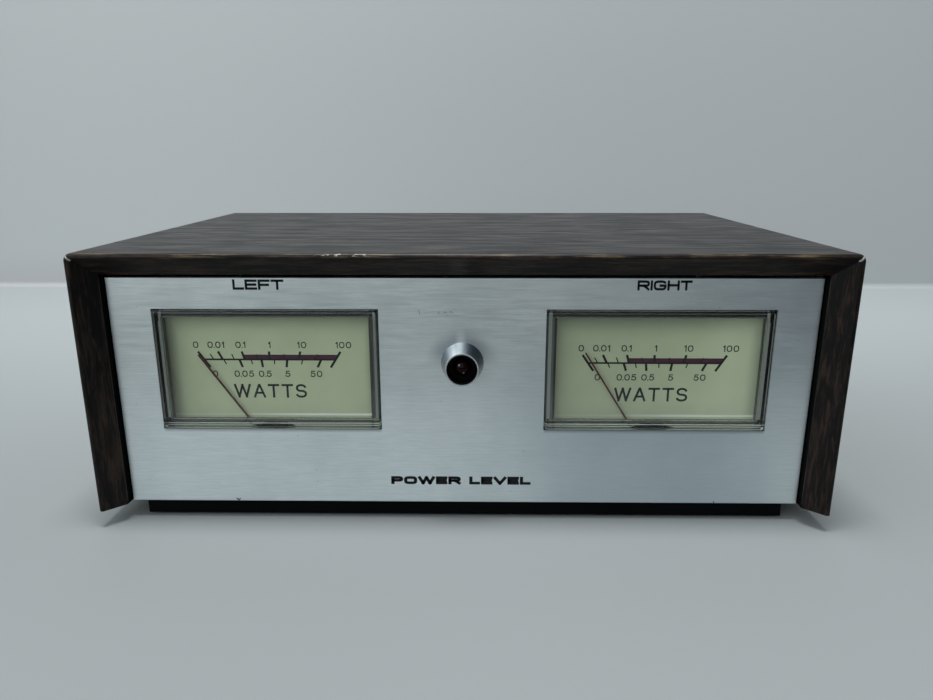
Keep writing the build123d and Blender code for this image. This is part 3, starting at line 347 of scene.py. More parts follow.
def brushed_panel():
    """Aluminium brushed from left to right, with faint clouds and specks, painted shade to the upper right,
    a painted shadow round each window and a painted reflection over the lamp.
    """
    r = Recipe("brushed aluminium", metallic=1.0)
    cloud_grey = (0.48, 0.545, 0.57)
    broad_white = (0.85, 0.90, 0.90)
    speck_grey = (0.20, 0.22, 0.22)
    painted_shade_blue = (0.34, 0.425, 0.485)
    painted_shadow_grey = (0.10, 0.12, 0.13)
    gap_shadow_black = (0.015, 0.02, 0.02)
    painted_reflection_grey = (0.24, 0.29, 0.33)
    x, y, z = r.parts()

    # Brushing, clouds and specks
    lines = r.noise(r.stretched(95, 500, 4600), 4, 0.7)
    hairs = r.noise(r.stretched(240, 500, 11000), 2, 0.6)
    broad = r.noise(r.stretched(14, 40, 120), 3, 0.5)
    cloud = r.noise(r.stretched(42, 34, 24), 4, 0.55)
    specks = r.noise(r.stretched(800, 800, 1100), 1, 0.5)
    shade = r.plus(r.times(lines, 0.55), r.times(hairs, 0.45))
    colour = r.ramp(
        shade,
        (0.32, (0.67, 0.735, 0.75)),
        (0.50, (0.78, 0.845, 0.86)),
        (0.68, (0.88, 0.945, 0.955)),
    )
    colour = r.laid(colour, cloud_grey, r.span(cloud, 0.38, 0.68), 0.24)
    colour = r.laid(colour, broad_white, r.span(broad, 0.45, 0.7), 0.10)
    colour = r.laid(colour, speck_grey, r.span(specks, 0.75, 0.79), 0.4)

    # Painted shade: darker and bluer towards the upper right corner, and below the right window
    upper_right = r.times(r.span(x, 35 * mm, 95 * mm), r.span(z, 30 * mm, 68 * mm))
    right_part = r.times(r.span(x, 0.0, 40 * mm), r.span(x, 110 * mm, 60 * mm))
    lower_right = r.times(right_part, r.span(z, 65 * mm, 25 * mm))
    painted_shade_share = r.plus(r.times(upper_right, 0.34), r.times(lower_right, 0.55))
    colour = r.tint(painted_shade_share, colour, painted_shade_blue)

    # Painted shadow under each window, and a painted shadow in the gap round its outline
    side_gap, top_gap, low_gap = from_outline(r, x, z)
    painted_shadow_below = r.times(r.span(low_gap, -1.5 * mm, 0.0), r.span(side_gap, -0.6 * mm, 0.4 * mm))
    painted_shadow_below = r.times(painted_shadow_below, r.under(low_gap, 1.0 * mm))
    colour = r.laid(colour, painted_shadow_grey, painted_shadow_below, 0.75)
    outline = r.span(r.least(side_gap, r.least(top_gap, low_gap)), -0.35 * mm, -0.15 * mm)
    colour = r.tint(outline, colour, gap_shadow_black)

    # Painted reflection of the lamp's bezel: a dark halo over the lamp, split by a bright line
    off_x = r.minus(x, lamp_x)
    off_z = r.minus(z, lamp_z)
    painted_reflection = r.times(r.span(r.reach(off_x, off_z), 10.5 * mm, 5.5 * mm), r.span(off_z, -1.5 * mm, 3.5 * mm))
    painted_reflection = r.times(painted_reflection, r.span(r.gap(off_x, -0.4 * mm), 0.2 * mm, 1.8 * mm))
    colour = r.laid(colour, painted_reflection_grey, painted_reflection, 0.5)
    r.set(
        base_color=colour,
        roughness=r.span(lines, 0.3, 0.7, 0.30, 0.42),
        normal=r.bump(shade, 0.015 * mm, 0.5),
    )
    return r.material


def turned_aluminium():
    """Aluminium with fine rings from turning, with a painted highlight along one streak and round its front
    lip, and painted shade on its right side.
    """
    r = Recipe("turned aluminium", metallic=1.0, anisotropic=0.6)
    highlight_white = (0.92, 0.94, 0.96)
    painted_shade_side = (0.035, 0.05, 0.066)
    ring_scale = 9000
    highlight_turn = -0.32
    lip_y = bezel_low[1]
    x, y, z = r.parts()
    off_x = r.minus(x, lamp_x)
    off_z = r.minus(z, lamp_z)
    radius = r.reach(off_x, off_z)
    rings = r.noise(r.joined(r.times(radius, ring_scale), r.times(y, ring_scale), 0.0), 3, 0.6)
    # Painted highlight along a streak left of the top and round the front lip, and painted shade on the
    # right side
    turn = r.math("ARCTAN2", off_x, off_z)
    sector = r.noise(r.joined(r.times(turn, 5.0), 0.0, 0.0), 3, 0.6)
    painted_highlight = r.times(r.span(r.gap(turn, highlight_turn), 0.75, 0.05), r.span(sector, 0.25, 0.6, 0.6, 1.0))
    painted_highlight = r.most(painted_highlight, r.span(y, lip_y + 0.35 * mm, lip_y + 0.1 * mm))
    shade = r.ramp(rings, (0.3, (0.09, 0.115, 0.14)), (0.7, (0.15, 0.18, 0.21)))
    shade = r.tint(r.span(turn, 0.15, 0.7), shade, painted_shade_side)
    tangent = r.nodes.new("ShaderNodeTangent")
    tangent.direction_type = "RADIAL"
    tangent.axis = "Y"
    r.set(
        base_color=r.tint(painted_highlight, shade, highlight_white),
        roughness=r.span(rings, 0.3, 0.7, 0.16, 0.24),
        normal=r.bump(rings, 0.01 * mm, 0.3),
        tangent=tangent.outputs[0],
    )
    return r.material


def coated(name, colour, roughness, grain=900, depth=0.03, **sockets):
    """Paint or moulded plastic with a fine orange-peel surface, its depth in millimetres."""
    r = Recipe(name, **sockets)
    peel = r.noise(r.scaled(grain), 3, 0.5)
    cloud = r.noise(r.scaled(60), 2, 0.5)
    dark = [0.82 * part for part in colour]
    light = [min(1.0, 1.12 * part) for part in colour]
    r.set(
        base_color=r.ramp(cloud, (0.35, dark), (0.65, light)),
        roughness=r.span(peel, 0.3, 0.7, roughness - 0.05, roughness + 0.05),
        normal=r.bump(peel, depth * mm, 0.4),
    )
    return r.material


def worked_metal(name, colour, roughness):
    """Metal with fine tool marks and slight tarnish."""
    r = Recipe(name, metallic=1.0)
    marks = r.noise(r.stretched(1500, 1500, 4000), 3, 0.6)
    tarnish = r.noise(r.scaled(220), 4, 0.6)
    dark = [0.7 * part for part in colour]
    r.set(
        base_color=r.ramp(tarnish, (0.35, dark), (0.6, colour)),
        roughness=r.span(tarnish, 0.3, 0.7, roughness + 0.08, roughness - 0.05),
        normal=r.bump(marks, 0.01 * mm, 0.4),
    )
    return r.material


def clear_acrylic():
    """Clear moulded cover with faint handling haze, its walls, rim and lip painted with the light and shade
    seen through them: grey and pale tones, painted shade lines and painted glints.
    """
    r = Recipe("clear acrylic", ior=1.49)
    grey_paint = (0.19, 0.21, 0.205)
    pale_paint = (0.50, 0.54, 0.50)
    acrylic_shade_black = (0.0015, 0.002, 0.002)
    painted_glint_white = (0.85, 0.90, 0.84)
    clear_tint = (0.95, 0.97, 0.95)
    passing_tint = (0.90, 0.92, 0.90, 1)
    haze = r.noise(r.scaled(90), 4, 0.6)
    x, y, z = r.parts()
    side_gap, top_gap, low_gap = from_outline(r, x, z)
    depth = r.minus(y, front_y)
    lip_height = 2.3 * mm
    wall = 1.5 * mm
    paint_start = 7.25 * mm
    rear_start, rear_end = 10.12 * mm, 10.3 * mm
    rim_width = 2.02 * mm

    # Zones of the moulding: the lip along its foot, the walls' two faces and the rear face
    above_lip = r.over(low_gap, lip_height)
    on_lip = r.minus(1.0, above_lip)
    edge = r.least(side_gap, top_gap)
    inner = r.over(r.least(edge, low_gap), wall)
    outer = r.minus(1.0, inner)
    rear = r.between(depth, rear_start, rear_end)
    under_top = r.times(inner, r.over(side_gap, lip_height))

    # Walls and rear rim above the lip, painted with the shade and light seen through them
    upper_rear = r.times(above_lip, rear, r.under(edge, rim_width))
    upper_walls = r.times(above_lip, r.between(depth, paint_start, rear_start))

    # Lip painted on its rear face with lines of painted shade and bright painted glints
    lip_rear = r.times(on_lip, rear)
    upper_line = r.between(low_gap, 1.04 * mm, 1.44 * mm)
    lower_line = r.between(low_gap, 0.36 * mm, 0.52 * mm)
    lip_lines = r.times(lip_rear, r.most(upper_line, lower_line))
    upper_painted_glint = r.between(low_gap, 0.60 * mm, 0.86 * mm)
    off_mouth = r.span(r.minus(window_half_width, side_gap), 4.5 * mm, 6.5 * mm)
    lower_painted_glint = r.times(off_mouth, r.between(low_gap, 0.0, 0.27 * mm))
    painted_glints = r.times(lip_rear, r.most(upper_painted_glint, lower_painted_glint))
    lip_outer = r.times(on_lip, outer, r.between(depth, 8.6 * mm, 9.4 * mm))
    lip_inner = r.times(on_lip, inner, r.between(depth, paint_start, 8.3 * mm))

    # Painted shade: dark oval mouth in the lip where the movement's opening shows through, a little to the
    # left in the left window
    mouth_half_width, mouth_half_height = 4.5 * mm, 0.34 * mm
    left_shift = -0.9 * mm
    mouth_shift = r.times(r.under(x, 0.0), left_shift)
    mouth_x = r.plus(r.minus(r.math("ABSOLUTE", x), window_x), mouth_shift)
    mouth_z = r.minus(low_gap, mouth_half_height)
    mouth_reach = r.reach(
        r.math("DIVIDE", mouth_x, mouth_half_width),
        r.math("DIVIDE", mouth_z, mouth_half_height),
    )
    mouth = r.times(r.under(mouth_reach, 1.0), rear)

    # Paint: grey, with pale bands of painted light and black bands of painted shade along the front rim,
    # walls and lip
    front_rim = r.times(r.between(depth, 0.0, 6.5 * mm), r.between(top_gap, 0.08 * mm, 0.34 * mm))
    painted = r.most(upper_rear, upper_walls, lip_lines, painted_glints, lip_outer, lip_inner, front_rim, mouth)
    pale_bands = r.most(r.between(side_gap, 0.7 * mm, 1.2 * mm), r.between(top_gap, 0.95 * mm, 1.2 * mm))
    pale = r.most(r.times(rear, pale_bands), r.times(above_lip, r.most(outer, under_top)))
    outer_dark = r.times(outer, r.between(depth, 9.2 * mm, rear_start), above_lip)
    inner_dark = r.times(inner, r.between(depth, 8.5 * mm, rear_start), r.minus(above_lip, under_top))
    outer_band = r.most(r.under(side_gap, 0.5 * mm), r.under(top_gap, 0.9 * mm))
    inner_band = r.times(r.between(top_gap, 1.4 * mm, 2.1 * mm), r.over(side_gap, 1.6 * mm))
    rear_dark = r.times(upper_rear, r.most(outer_band, inner_band))
    dark = r.most(outer_dark, inner_dark, lip_inner, rear_dark, lip_lines, front_rim, mouth)
    paint = r.tint(pale, grey_paint, pale_paint)
    paint = r.tint(painted_glints, paint, painted_glint_white)
    paint = r.tint(dark, paint, acrylic_shade_black)
    clear = r.minus(1.0, painted)
    r.set(
        base_color=r.tint(clear, paint, clear_tint),
        transmission_weight=clear,
        roughness=r.span(haze, 0.45, 0.8, 0.0, 0.04),
    )

    # Light passes straight through where the moulding is clear
    path = r.nodes.new("ShaderNodeLightPath")
    passing = r.most(path.outputs["Is Shadow Ray"], path.outputs["Is Diffuse Ray"])
    open_way = r.nodes.new("ShaderNodeBsdfTransparent")
    open_way.inputs["Color"].default_value = passing_tint
    chosen = r.nodes.new("ShaderNodeMixShader")
    r.feed(chosen.inputs[0], r.times(passing, clear))
    r.links.new(r.shader.outputs[0], chosen.inputs[1])
    r.links.new(open_way.outputs[0], chosen.inputs[2])
    r.links.new(chosen.outputs[0], r.nodes["Material Output"].inputs["Surface"])
    return r.material


def dial_paint():
    """Matt cream print, mottled, with painted shade towards its edges, a painted light strip along its foot
    and a painted shadow line down its inner edges.
    """
    r = Recipe("dial cream", roughness=0.7, specular_ior_level=0.2)
    edge_shade_olive = (0.19, 0.21, 0.17)
    left_shade_olive = (0.20, 0.22, 0.17)
    painted_light_cream = (0.72, 0.75, 0.56)
    painted_light_white = (0.97, 1.0, 0.94)
    shadow_line_black = (0.004, 0.0045, 0.004)
    mottle = r.noise(r.scaled(130), 4, 0.6)
    stock = r.noise(r.scaled(1800), 2, 0.5)
    x, y, z = r.parts()
    side_gap, top_gap, low_gap = from_outline(r, x, z)
    colour = r.ramp(mottle, (0.3, (0.555, 0.585, 0.405)), (0.7, (0.612, 0.645, 0.45)))
    # Painted shade darkening the dial towards its sides and top
    painted_edge_shade = r.most(r.span(side_gap, 5.0 * mm, 1.8 * mm), r.span(top_gap, 8.0 * mm, 1.2 * mm))
    colour = r.laid(colour, edge_shade_olive, painted_edge_shade, 0.52)

    # Painted light: bright strip along the foot, stronger to the right
    painted_light_strip = r.times(r.span(low_gap, 2.0 * mm, 2.2 * mm), r.span(low_gap, 2.85 * mm, 2.6 * mm))
    from_middle = r.plus(x, r.times(r.math("SIGN", x), -window_x))
    colour = r.laid(colour, painted_light_white, painted_light_strip, r.span(from_middle, -18 * mm, 14 * mm, 0.15, 1.0))

    # Right dial, with painted shade at its top and left and painted light at its right
    on_right = r.span(x, 0.0, 20 * mm)
    colour = r.laid(colour, edge_shade_olive, r.times(on_right, r.span(top_gap, 10 * mm, 3 * mm)), 0.25)
    colour = r.laid(colour, left_shade_olive, r.times(on_right, r.span(x, 72 * mm, 45 * mm)), 0.25)
    colour = r.tint(r.span(x, 62 * mm, 75 * mm, 0.0, 0.35), colour, painted_light_cream)

    # Painted shadow: black line down the edge nearer to the lamp
    inward = r.under(r.math("ABSOLUTE", x), window_x)
    line = r.times(r.over(side_gap, 2.3 * mm), r.span(side_gap, 3.15 * mm, 2.95 * mm))
    colour = r.laid(colour, shadow_line_black, r.times(inward, line), 0.9)
    r.set(base_color=colour, normal=r.bump(stock, 0.01 * mm, 0.3))
    return r.material


def led_epoxy():
    """Dark red epoxy, unlit, with two small painted highlights on its dome."""
    r = Recipe("led epoxy", roughness=0.12, specular_ior_level=0.1)
    tone = r.noise(r.scaled(300), 2, 0.5)
    colour = r.ramp(tone, (0.3, (0.003, 0.0007, 0.0012)), (0.7, (0.007, 0.0014, 0.0024)))
    x, y, z = r.parts()

    # Each painted highlight's place from the lamp's centre and its radius, in millimetres
    highlight_spots = ((-0.75, 0.95, 0.36), (0.45, -1.15, 0.27))
    highlight_grey = (0.36, 0.31, 0.33)
    for off_x, off_z, radius in highlight_spots:
        away = r.reach(r.minus(x, lamp_x + off_x * mm), r.minus(z, lamp_z + off_z * mm))
        colour = r.laid(colour, highlight_grey, r.span(away, radius * mm, 0.3 * radius * mm), 0.75)
    r.set(base_color=colour)
    return r.material


def phenolic_board():
    """Brown board with a faint weave and soft streaks."""
    r = Recipe("phenolic board", roughness=0.5)
    weave = r.noise(r.scaled(700), 3, 0.6)
    streak = r.noise(r.stretched(35, 220, 35), 3, 0.5)
    r.set(
        base_color=r.ramp(streak, (0.35, (0.13, 0.07, 0.025)), (0.65, (0.22, 0.125, 0.05))),
        normal=r.bump(weave, 0.02 * mm, 0.4),
    )
    return r.material


def banded_body():
    """Tan resistor lacquer with colour bands along X at an even pitch."""
    r = Recipe("resistor lacquer", roughness=0.4)
    tan_lacquer = (0.42, 0.30, 0.16)
    pitch = 1.5 * mm
    band_share = 0.3
    x, y, z = r.parts()
    step = r.math("DIVIDE", x, pitch)
    on_band = r.under(r.math("FRACT", step), band_share)
    hue = r.noise(r.joined(r.math("FLOOR", step), r.times(y, 300), 0.0), 0)
    bands = r.ramp(
        hue,
        (0.3, (0.25, 0.02, 0.015)),
        (0.45, (0.02, 0.02, 0.02)),
        (0.6, (0.45, 0.16, 0.02)),
        (0.7, (0.1, 0.05, 0.02)),
    )
    r.set(base_color=r.tint(on_band, tan_lacquer, bands))
    return r.material


def wound_wire():
    """Enamelled copper turns side by side."""
    r = Recipe("copper winding", metallic=1.0, roughness=0.3)
    pitch = 0.12 * mm
    turns = r.math("SINE", r.times(r.parts()["Y"], 2 * math.pi / pitch))
    tone = r.noise(r.scaled(400), 2, 0.5)
    r.set(
        base_color=r.ramp(tone, (0.3, (0.42, 0.13, 0.05)), (0.7, (0.62, 0.24, 0.10))),
        normal=r.bump(turns, 0.03 * mm, 0.6),
    )
    return r.material


def printed(name, colour, roughness=0.55):
    """Screen ink with slightly uneven cover."""
    r = Recipe(name, roughness=roughness, specular_ior_level=0.25)
    cover = r.noise(r.scaled(1400), 3, 0.6)
    thin = [part * 1.5 + 0.004 for part in colour]
    r.set(base_color=r.ramp(cover, (0.45, colour), (0.75, thin)))
    return r.material


finishes = {
    "woodgrain_vinyl": woodgrain_vinyl(),
    "chipboard": pressed_board(),
    "brushed_aluminium": brushed_panel(),
    "turned_aluminium": turned_aluminium(),
    # Black steel darkened with painted shade, as the front pieces stand in shade
    "black_steel": coated("black steel paint", (0.0014, 0.0017, 0.0022), 0.6, specular_ior_level=0.05),
    "zinc_steel": worked_metal("zinc plate", (0.55, 0.56, 0.56), 0.32),
    "clear_acrylic": clear_acrylic(),
    "black_moulding": coated("black moulding", (0.002, 0.002, 0.0022), 0.5, specular_ior_level=0.06),
    "dial_cream": dial_paint(),
    "pointer_red": coated("needle paint", (0.085, 0.016, 0.012), 0.6, 3000, 0.005, specular_ior_level=0.15),
    "copper_wire": wound_wire(),
    "spring_bronze": worked_metal("phosphor bronze", (0.62, 0.36, 0.16), 0.3),
    "bridge_brass": worked_metal("brass", (0.66, 0.48, 0.2), 0.32),
    "magnet": worked_metal("cast magnet", (0.16, 0.16, 0.17), 0.6),
    "soft_iron": worked_metal("soft iron", (0.40, 0.40, 0.40), 0.5),
    "led_red": led_epoxy(),
    "rubber_black": coated("black rubber", (0.012, 0.012, 0.012), 0.8, 2500, 0.05),
    "board_brown": phenolic_board(),
    "resistor_tan": banded_body(),
    "diode_black": coated("diode epoxy", (0.015, 0.015, 0.015), 0.3),
    "capacitor_blue": coated("capacitor sleeve", (0.012, 0.05, 0.16), 0.3, 200),
    "chip_black": coated("chip epoxy", (0.012, 0.012, 0.012), 0.55, 3000),
    "trimmer_blue": coated("trimmer moulding", (0.03, 0.12, 0.32), 0.4),
    "wiper_white": coated("wiper moulding", (0.7, 0.7, 0.65), 0.45),
    "lever_red": coated("red lever", (0.40, 0.012, 0.010), 0.35, 700),
    "lever_black": coated("black lever", (0.010, 0.010, 0.011), 0.35, 700),
    "wire_sleeve": coated("wire sleeve", (0.22, 0.012, 0.012), 0.45, 1500),
}
black_ink = printed("black ink", (0.002, 0.0022, 0.0026))
band_ink = printed("dark red ink", (0.055, 0.004, 0.028))
white_ink = printed("white ink", (0.62, 0.62, 0.60))
scuff_ink = printed("scuffed metal", (0.16, 0.175, 0.18), 0.7)
nick_ink = printed("nicked metal", (0.03, 0.033, 0.035), 0.8)

# Black pieces at the back, without the painted shade that darkens the black steel of the front ones
rear_paint = coated("rear panel paint", (0.011, 0.0115, 0.012), 0.45, specular_ior_level=0.3)
rear_moulding = coated("terminal moulding", (0.017, 0.017, 0.018), 0.4, 1400, specular_ior_level=0.4)
rear_finishes = {"rear_panel": rear_paint, "terminal_block": rear_moulding, "dc_jack": rear_moulding}

node_slots = {part["node"]: part["material_slot"] for part in frame["record"]["subparts"]}
for node, piece in frame["nodes"].items():
    piece.data.materials.clear()
    piece.data.materials.append(rear_finishes.get(node, finishes[node_slots[node]]))


# Prints

def finished(name, mesh_data, material):
    """New piece that rides on the cabinet."""
    mesh_data.materials.clear()
    mesh_data.materials.append(material)
    piece = bpy.data.objects.new(name, mesh_data)
    scene.collection.objects.link(piece)
    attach(piece, "cabinet")


def prism(shape, corners, face_y):
    """Thin plate on the front of an upright face, from (x, z) corners."""
    near = [shape.verts.new((x, face_y - print_thick, z)) for x, z in corners]
    far = [shape.verts.new((x, face_y, z)) for x, z in corners]
    shape.faces.new(near)
    shape.faces.new(far[::-1])
    for i in range(len(corners)):
        j = (i + 1) % len(corners)
        shape.faces.new((near[i], far[i], far[j], near[j]))


def stroke(shape, start, end, width, face_y):
    """Straight printed line between two (x, z) points."""
    ribbon(shape, [Vector(start), Vector(end)], width, face_y, False)


# Least cosine at a corner, so that the outer point of a sharp turn stays short
sharpest_mitre = 0.4


def ribbon(shape, points, width, face_y, closed, facing=-1, grow=1.0, across=0.0):
    """Printed line of even width along (x, z) points, stretched sideways about a place if asked."""
    count = len(points)
    rows = []
    for i, point in enumerate(points):
        before = points[i - 1] if closed or i else None
        after = points[(i + 1) % count] if closed or i < count - 1 else None
        runs = [(point - before).normalized()] if before is not None else []
        if after is not None:
            runs.append((after - point).normalized())
        normals = [Vector((-run.y, run.x)) for run in runs]
        mitre = sum(normals, Vector((0, 0))).normalized()
        side = mitre * width / 2 / max(sharpest_mitre, mitre.dot(normals[0]))
        row = []
        for corner in (point + side, point - side):
            x = across + (corner.x - across) * grow
            row.append(shape.verts.new((x, face_y + facing * print_thick, corner.y)))
            row.append(shape.verts.new((x, face_y, corner.y)))
        rows.append(row)
    for i in range(count if closed else count - 1):
        one, two = rows[i], rows[(i + 1) % count]
        for a, b in ((0, 2), (2, 3), (3, 1), (1, 0)):
            shape.faces.new((one[a], one[b], two[b], two[a]))
    if not closed:
        for row in (rows[0], rows[-1]):
            shape.faces.new((row[0], row[2], row[3], row[1]))


# Degrees between the points of a curve
arc_step = 15


def arc(x, y, radius_x, radius_y, start, stop, squareness=2.0):
    """Points on an oval between two angles in degrees, squarer with a higher last value."""
    steps = max(3, round(abs(stop - start) / arc_step))
    points = []
    for i in range(steps + 1):
        turn = math.radians(start + (stop - start) * i / steps)
        c, s = math.cos(turn), math.sin(turn)
        points.append((
            x + radius_x * math.copysign(abs(c) ** (2 / squareness), c),
            y + radius_y * math.copysign(abs(s) ** (2 / squareness), s),
        ))
    return points


oval = arc(0.5, 0.5, 0.5, 0.5, 0, 360, 2.4)[:-1]
box_oval = arc(0.5, 0.5, 0.5, 0.5, 0, 360, 4.0)[:-1]
bowl = arc(0.62, 0.73, 0.38, 0.27, 90, -90, 3.2)
upper_s = arc(0.5, 0.75, 0.46, 0.25, 22, 270, 2.3)
lower_s = arc(0.5, 0.25, 0.5, 0.25, 90, -158, 2.3)[1:]

# Each letter's width for a height of one, then its lines in a unit square with whether each is closed
glyphs = {
    "0": (0.79, [(oval, True)]),
    "1": (0.22, [([(0.0, 0.80), (0.75, 0.98), (1.0, 1.0), (1.0, 0.0)], False)]),
    "2": (0.74, [(arc(0.5, 0.7, 0.48, 0.3, 170, -30) + [(0.02, 0.0), (1.0, 0.0)], False)]),
    "5": (0.74, [([(0.92, 1.0), (0.2, 1.0), (0.08, 0.5)] + arc(0.47, 0.33, 0.53, 0.33, 130, -150), False)]),
    ".": (-0.23, [([(0.5, 0.0), (0.5, 0.02)], False)]),
    " ": (0.3, []),
    "+": (0.8, [([(0, 0.5), (1, 0.5)], False), ([(0.5, 0), (0.5, 1)], False)]),
    "-": (0.8, [([(0, 0.5), (1, 0.5)], False)]),
    "A": (0.82, [
        ([(0, 0), (0.47, 1)], False),
        ([(0.53, 1), (1, 0)], False),
        ([(0.2, 0.33), (0.8, 0.33)], False),
    ]),
    "C": (0.82, [(arc(0.5, 0.5, 0.5, 0.5, 38, 322, 3.4), False)]),
    "D": (0.78, [([(0, 0.0), (0, 1.0)] + arc(0.5, 0.5, 0.5, 0.5, 90, -90, 3.0), True)]),
    "E": (0.72, [([(1, 1), (0, 1), (0, 0), (1, 0)], False), ([(0, 0.5), (0.94, 0.5)], False)]),
    "F": (0.70, [([(1, 1), (0, 1), (0, 0)], False), ([(0, 0.48), (0.92, 0.48)], False)]),
    "G": (0.86, [(arc(0.5, 0.5, 0.5, 0.5, 38, 340, 3.6) + [(1.0, 0.47), (0.55, 0.47)], False)]),
    "H": (0.80, [([(0, 0), (0, 1)], False), ([(1, 0), (1, 1)], False), ([(0, 0.52), (1, 0.52)], False)]),
    "I": (0.0, [([(0, 0), (0, 1)], False)]),
    "L": (0.66, [([(0, 1), (0, 0), (1, 0)], False)]),
    "O": (0.86, [(box_oval, True)]),
    "P": (0.76, [([(0, 0), (0, 1)] + bowl + [(0.0, 0.46)], False)]),
    "R": (0.80, [([(0, 0), (0, 1)] + bowl + [(0.0, 0.46)], False), ([(0.55, 0.46), (1, 0)], False)]),
    "S": (0.74, [(upper_s + lower_s, False)]),
    "T": (0.76, [([(0, 1), (1, 1)], False), ([(0.5, 1), (0.5, 0)], False)]),
    "V": (0.86, [([(0, 1), (0.48, 0)], False), ([(0.52, 0), (1, 1)], False)]),
    "W": (1.2, [
        ([(0, 1), (0.25, 0)], False),
        ([(0.25, 0), (0.5, 1)], False),
        ([(0.5, 1), (0.75, 0)], False),
        ([(0.75, 0), (1, 1)], False),
    ]),
}


def letters(shape, text, centre, height, weight, face_y, gap=0.3, width=None, facing=-1, wide=1.0):
    """Text on an upright face, from its height and line weight, fitted to a width if one is given.

    The gap between letters is for a height of one, and wide stretches every letter.
    """
    tall = height - weight
    starts = []
    cursor = 0.0
    for letter in text:
        starts.append(cursor)
        cursor += glyphs[letter][0] * wide * tall + weight + gap * height
    span = cursor - gap * height
    grow = width / span if width else 1.0
    for place, letter in enumerate(text):
        share, lines = glyphs[letter]
        for line, closed in lines:
            points = []
            for u, v in line:
                across = starts[place] + weight / 2 + u * share * wide * tall - span / 2
                points.append(Vector((centre[0] - facing * across, centre[1] + (v - 0.5) * tall)))
            if not closed:
                # Square ends, half a line's weight past the last points
                points[0] += (points[0] - points[1]).normalized() * weight / 2
                points[-1] += (points[-1] - points[-2]).normalized() * weight / 2
            ribbon(shape, points, weight, face_y, closed, facing, grow, centre[0])


def closed_up(shape, name):
    """Mesh with its faces outward."""
    bmesh.ops.recalc_face_normals(shape, faces=shape.faces)
    mesh_data = bpy.data.meshes.new(name)
    shape.to_mesh(mesh_data)
    shape.free()
    return mesh_data


# Marks of one dial, by angle in degrees from upright about the needle's pivot
ends = (-34.3, 32.3)
upper_marks = (-26.4, -15.5, -1.5, 14.7)
lower_marks = (-18.2, -6.2, 8.5, 26.0)
upper_minors = (-30.4, -20.9, -8.4, 6.6, 23.2)
lower_minors = (-26.0, -12.0, 1.2, 16.9)
scale_z = 45.5 * mm
band_start = -15.5
band_low = 45.3 * mm
band_high = 46.9 * mm
end_reach = (43.25 * mm, 47.75 * mm)
upper_reach = (45.5 * mm, 47.8 * mm)
lower_reach = (43.3 * mm, 45.5 * mm)
minor_high = 47.05 * mm
minor_low = 44.15 * mm
line_width = 0.50 * mm
major_width = 0.64 * mm
minor_width = 0.31 * mm

# Numbers with their centres in millimetres from the dial's middle
upper_numbers = {"0": -20.76, "0.01": -15.23, "0.1": -8.49, "1": -0.54, "10": 8.32, "100": 19.7}
lower_numbers = {"0": -16.04, "0.05": -8.07, "0.5": -2.24, "5": 3.98, "50": 11.88}
upper_number_z = 49.65 * mm
lower_number_z = 41.42 * mm
number_height = 1.8 * mm
number_weight = 0.28 * mm
number_gap = 0.2
units_box = ((-11.2 * mm, 8.96 * mm), (34.5 * mm, 38.45 * mm))
units_weight = 0.6 * mm
units_gap = 0.17

# How far each dial's print stands to the right of and above its nominal place
dial_shift = {"left": (0.0, 0.0), "right": (0.75 * mm, -0.7 * mm)}


def dial_print(side):
    """Scale, band, numbers and units of one dial."""
    middle = middle_x(f"{side}_dial_plate")
    shift_x, shift_z = dial_shift[side]

    def spot(angle, height):
        """Point on a mark's line at a height above the floor."""
        x = middle + shift_x + math.tan(math.radians(angle)) * (height - pivot_z)
        return (x, height + shift_z)

    scale = bmesh.new()
    for angles, reach, width in (
        (ends, end_reach, major_width),
        (upper_marks, upper_reach, major_width),
        (lower_marks, lower_reach, major_width),
        (upper_minors, (scale_z, minor_high), minor_width),
        (lower_minors, (minor_low, scale_z), minor_width),
    ):
        for angle in angles:
            stroke(scale, spot(angle, reach[0]), spot(angle, reach[1]), width, dial_y)
    stroke(scale, spot(ends[0], scale_z), spot(ends[1], scale_z), line_width, dial_y)
    finished(f"{side}_dial_scale", closed_up(scale, "scale"), black_ink)

    band = bmesh.new()
    foot = [spot(angle, band_low) for angle in (band_start, ends[1])]
    head = [spot(angle, band_high) for angle in (ends[1], band_start)]
    prism(band, foot + head, dial_y + 0.5 * print_thick)
    finished(f"{side}_dial_band", closed_up(band, "band"), band_ink)

    numbers = bmesh.new()
    for places, height in ((upper_numbers, upper_number_z), (lower_numbers, lower_number_z)):
        for number, place in places.items():
            centre = (middle + shift_x + place * mm, height + shift_z)
            letters(numbers, number, centre, number_height, number_weight, dial_y, number_gap)
    (left, right), (low, high) = units_box
    centre = (middle + shift_x + (left + right) / 2, shift_z + (low + high) / 2)
    letters(numbers, "WATTS", centre, high - low, units_weight, dial_y, units_gap, right - left)
    finished(f"{side}_dial_numbers", closed_up(numbers, "numbers"), black_ink)


for side in ("left", "right"):
    dial_print(side)

# Panel lettering, as text with its centre, height, width and line weight
panel_texts = (
    ("LEFT", (-53.25 * mm, 67.05 * mm), 2.72 * mm, 13.4 * mm, 0.64 * mm),
    ("RIGHT", (52.45 * mm, 67.0 * mm), 2.65 * mm, 14.1 * mm, 0.64 * mm),
    ("POWER LEVEL", (-0.5 * mm, 11.75 * mm), 2.40 * mm, 39.0 * mm, 0.80 * mm),
)
panel_gap = 0.09
panel_wide = 1.75
panel_print = bmesh.new()
for text, centre, height, width, weight in panel_texts:
    letters(panel_print, text, centre, height, weight, panel_y, panel_gap, width, wide=panel_wide)
finished("panel_lettering", closed_up(panel_print, "lettering"), black_ink)

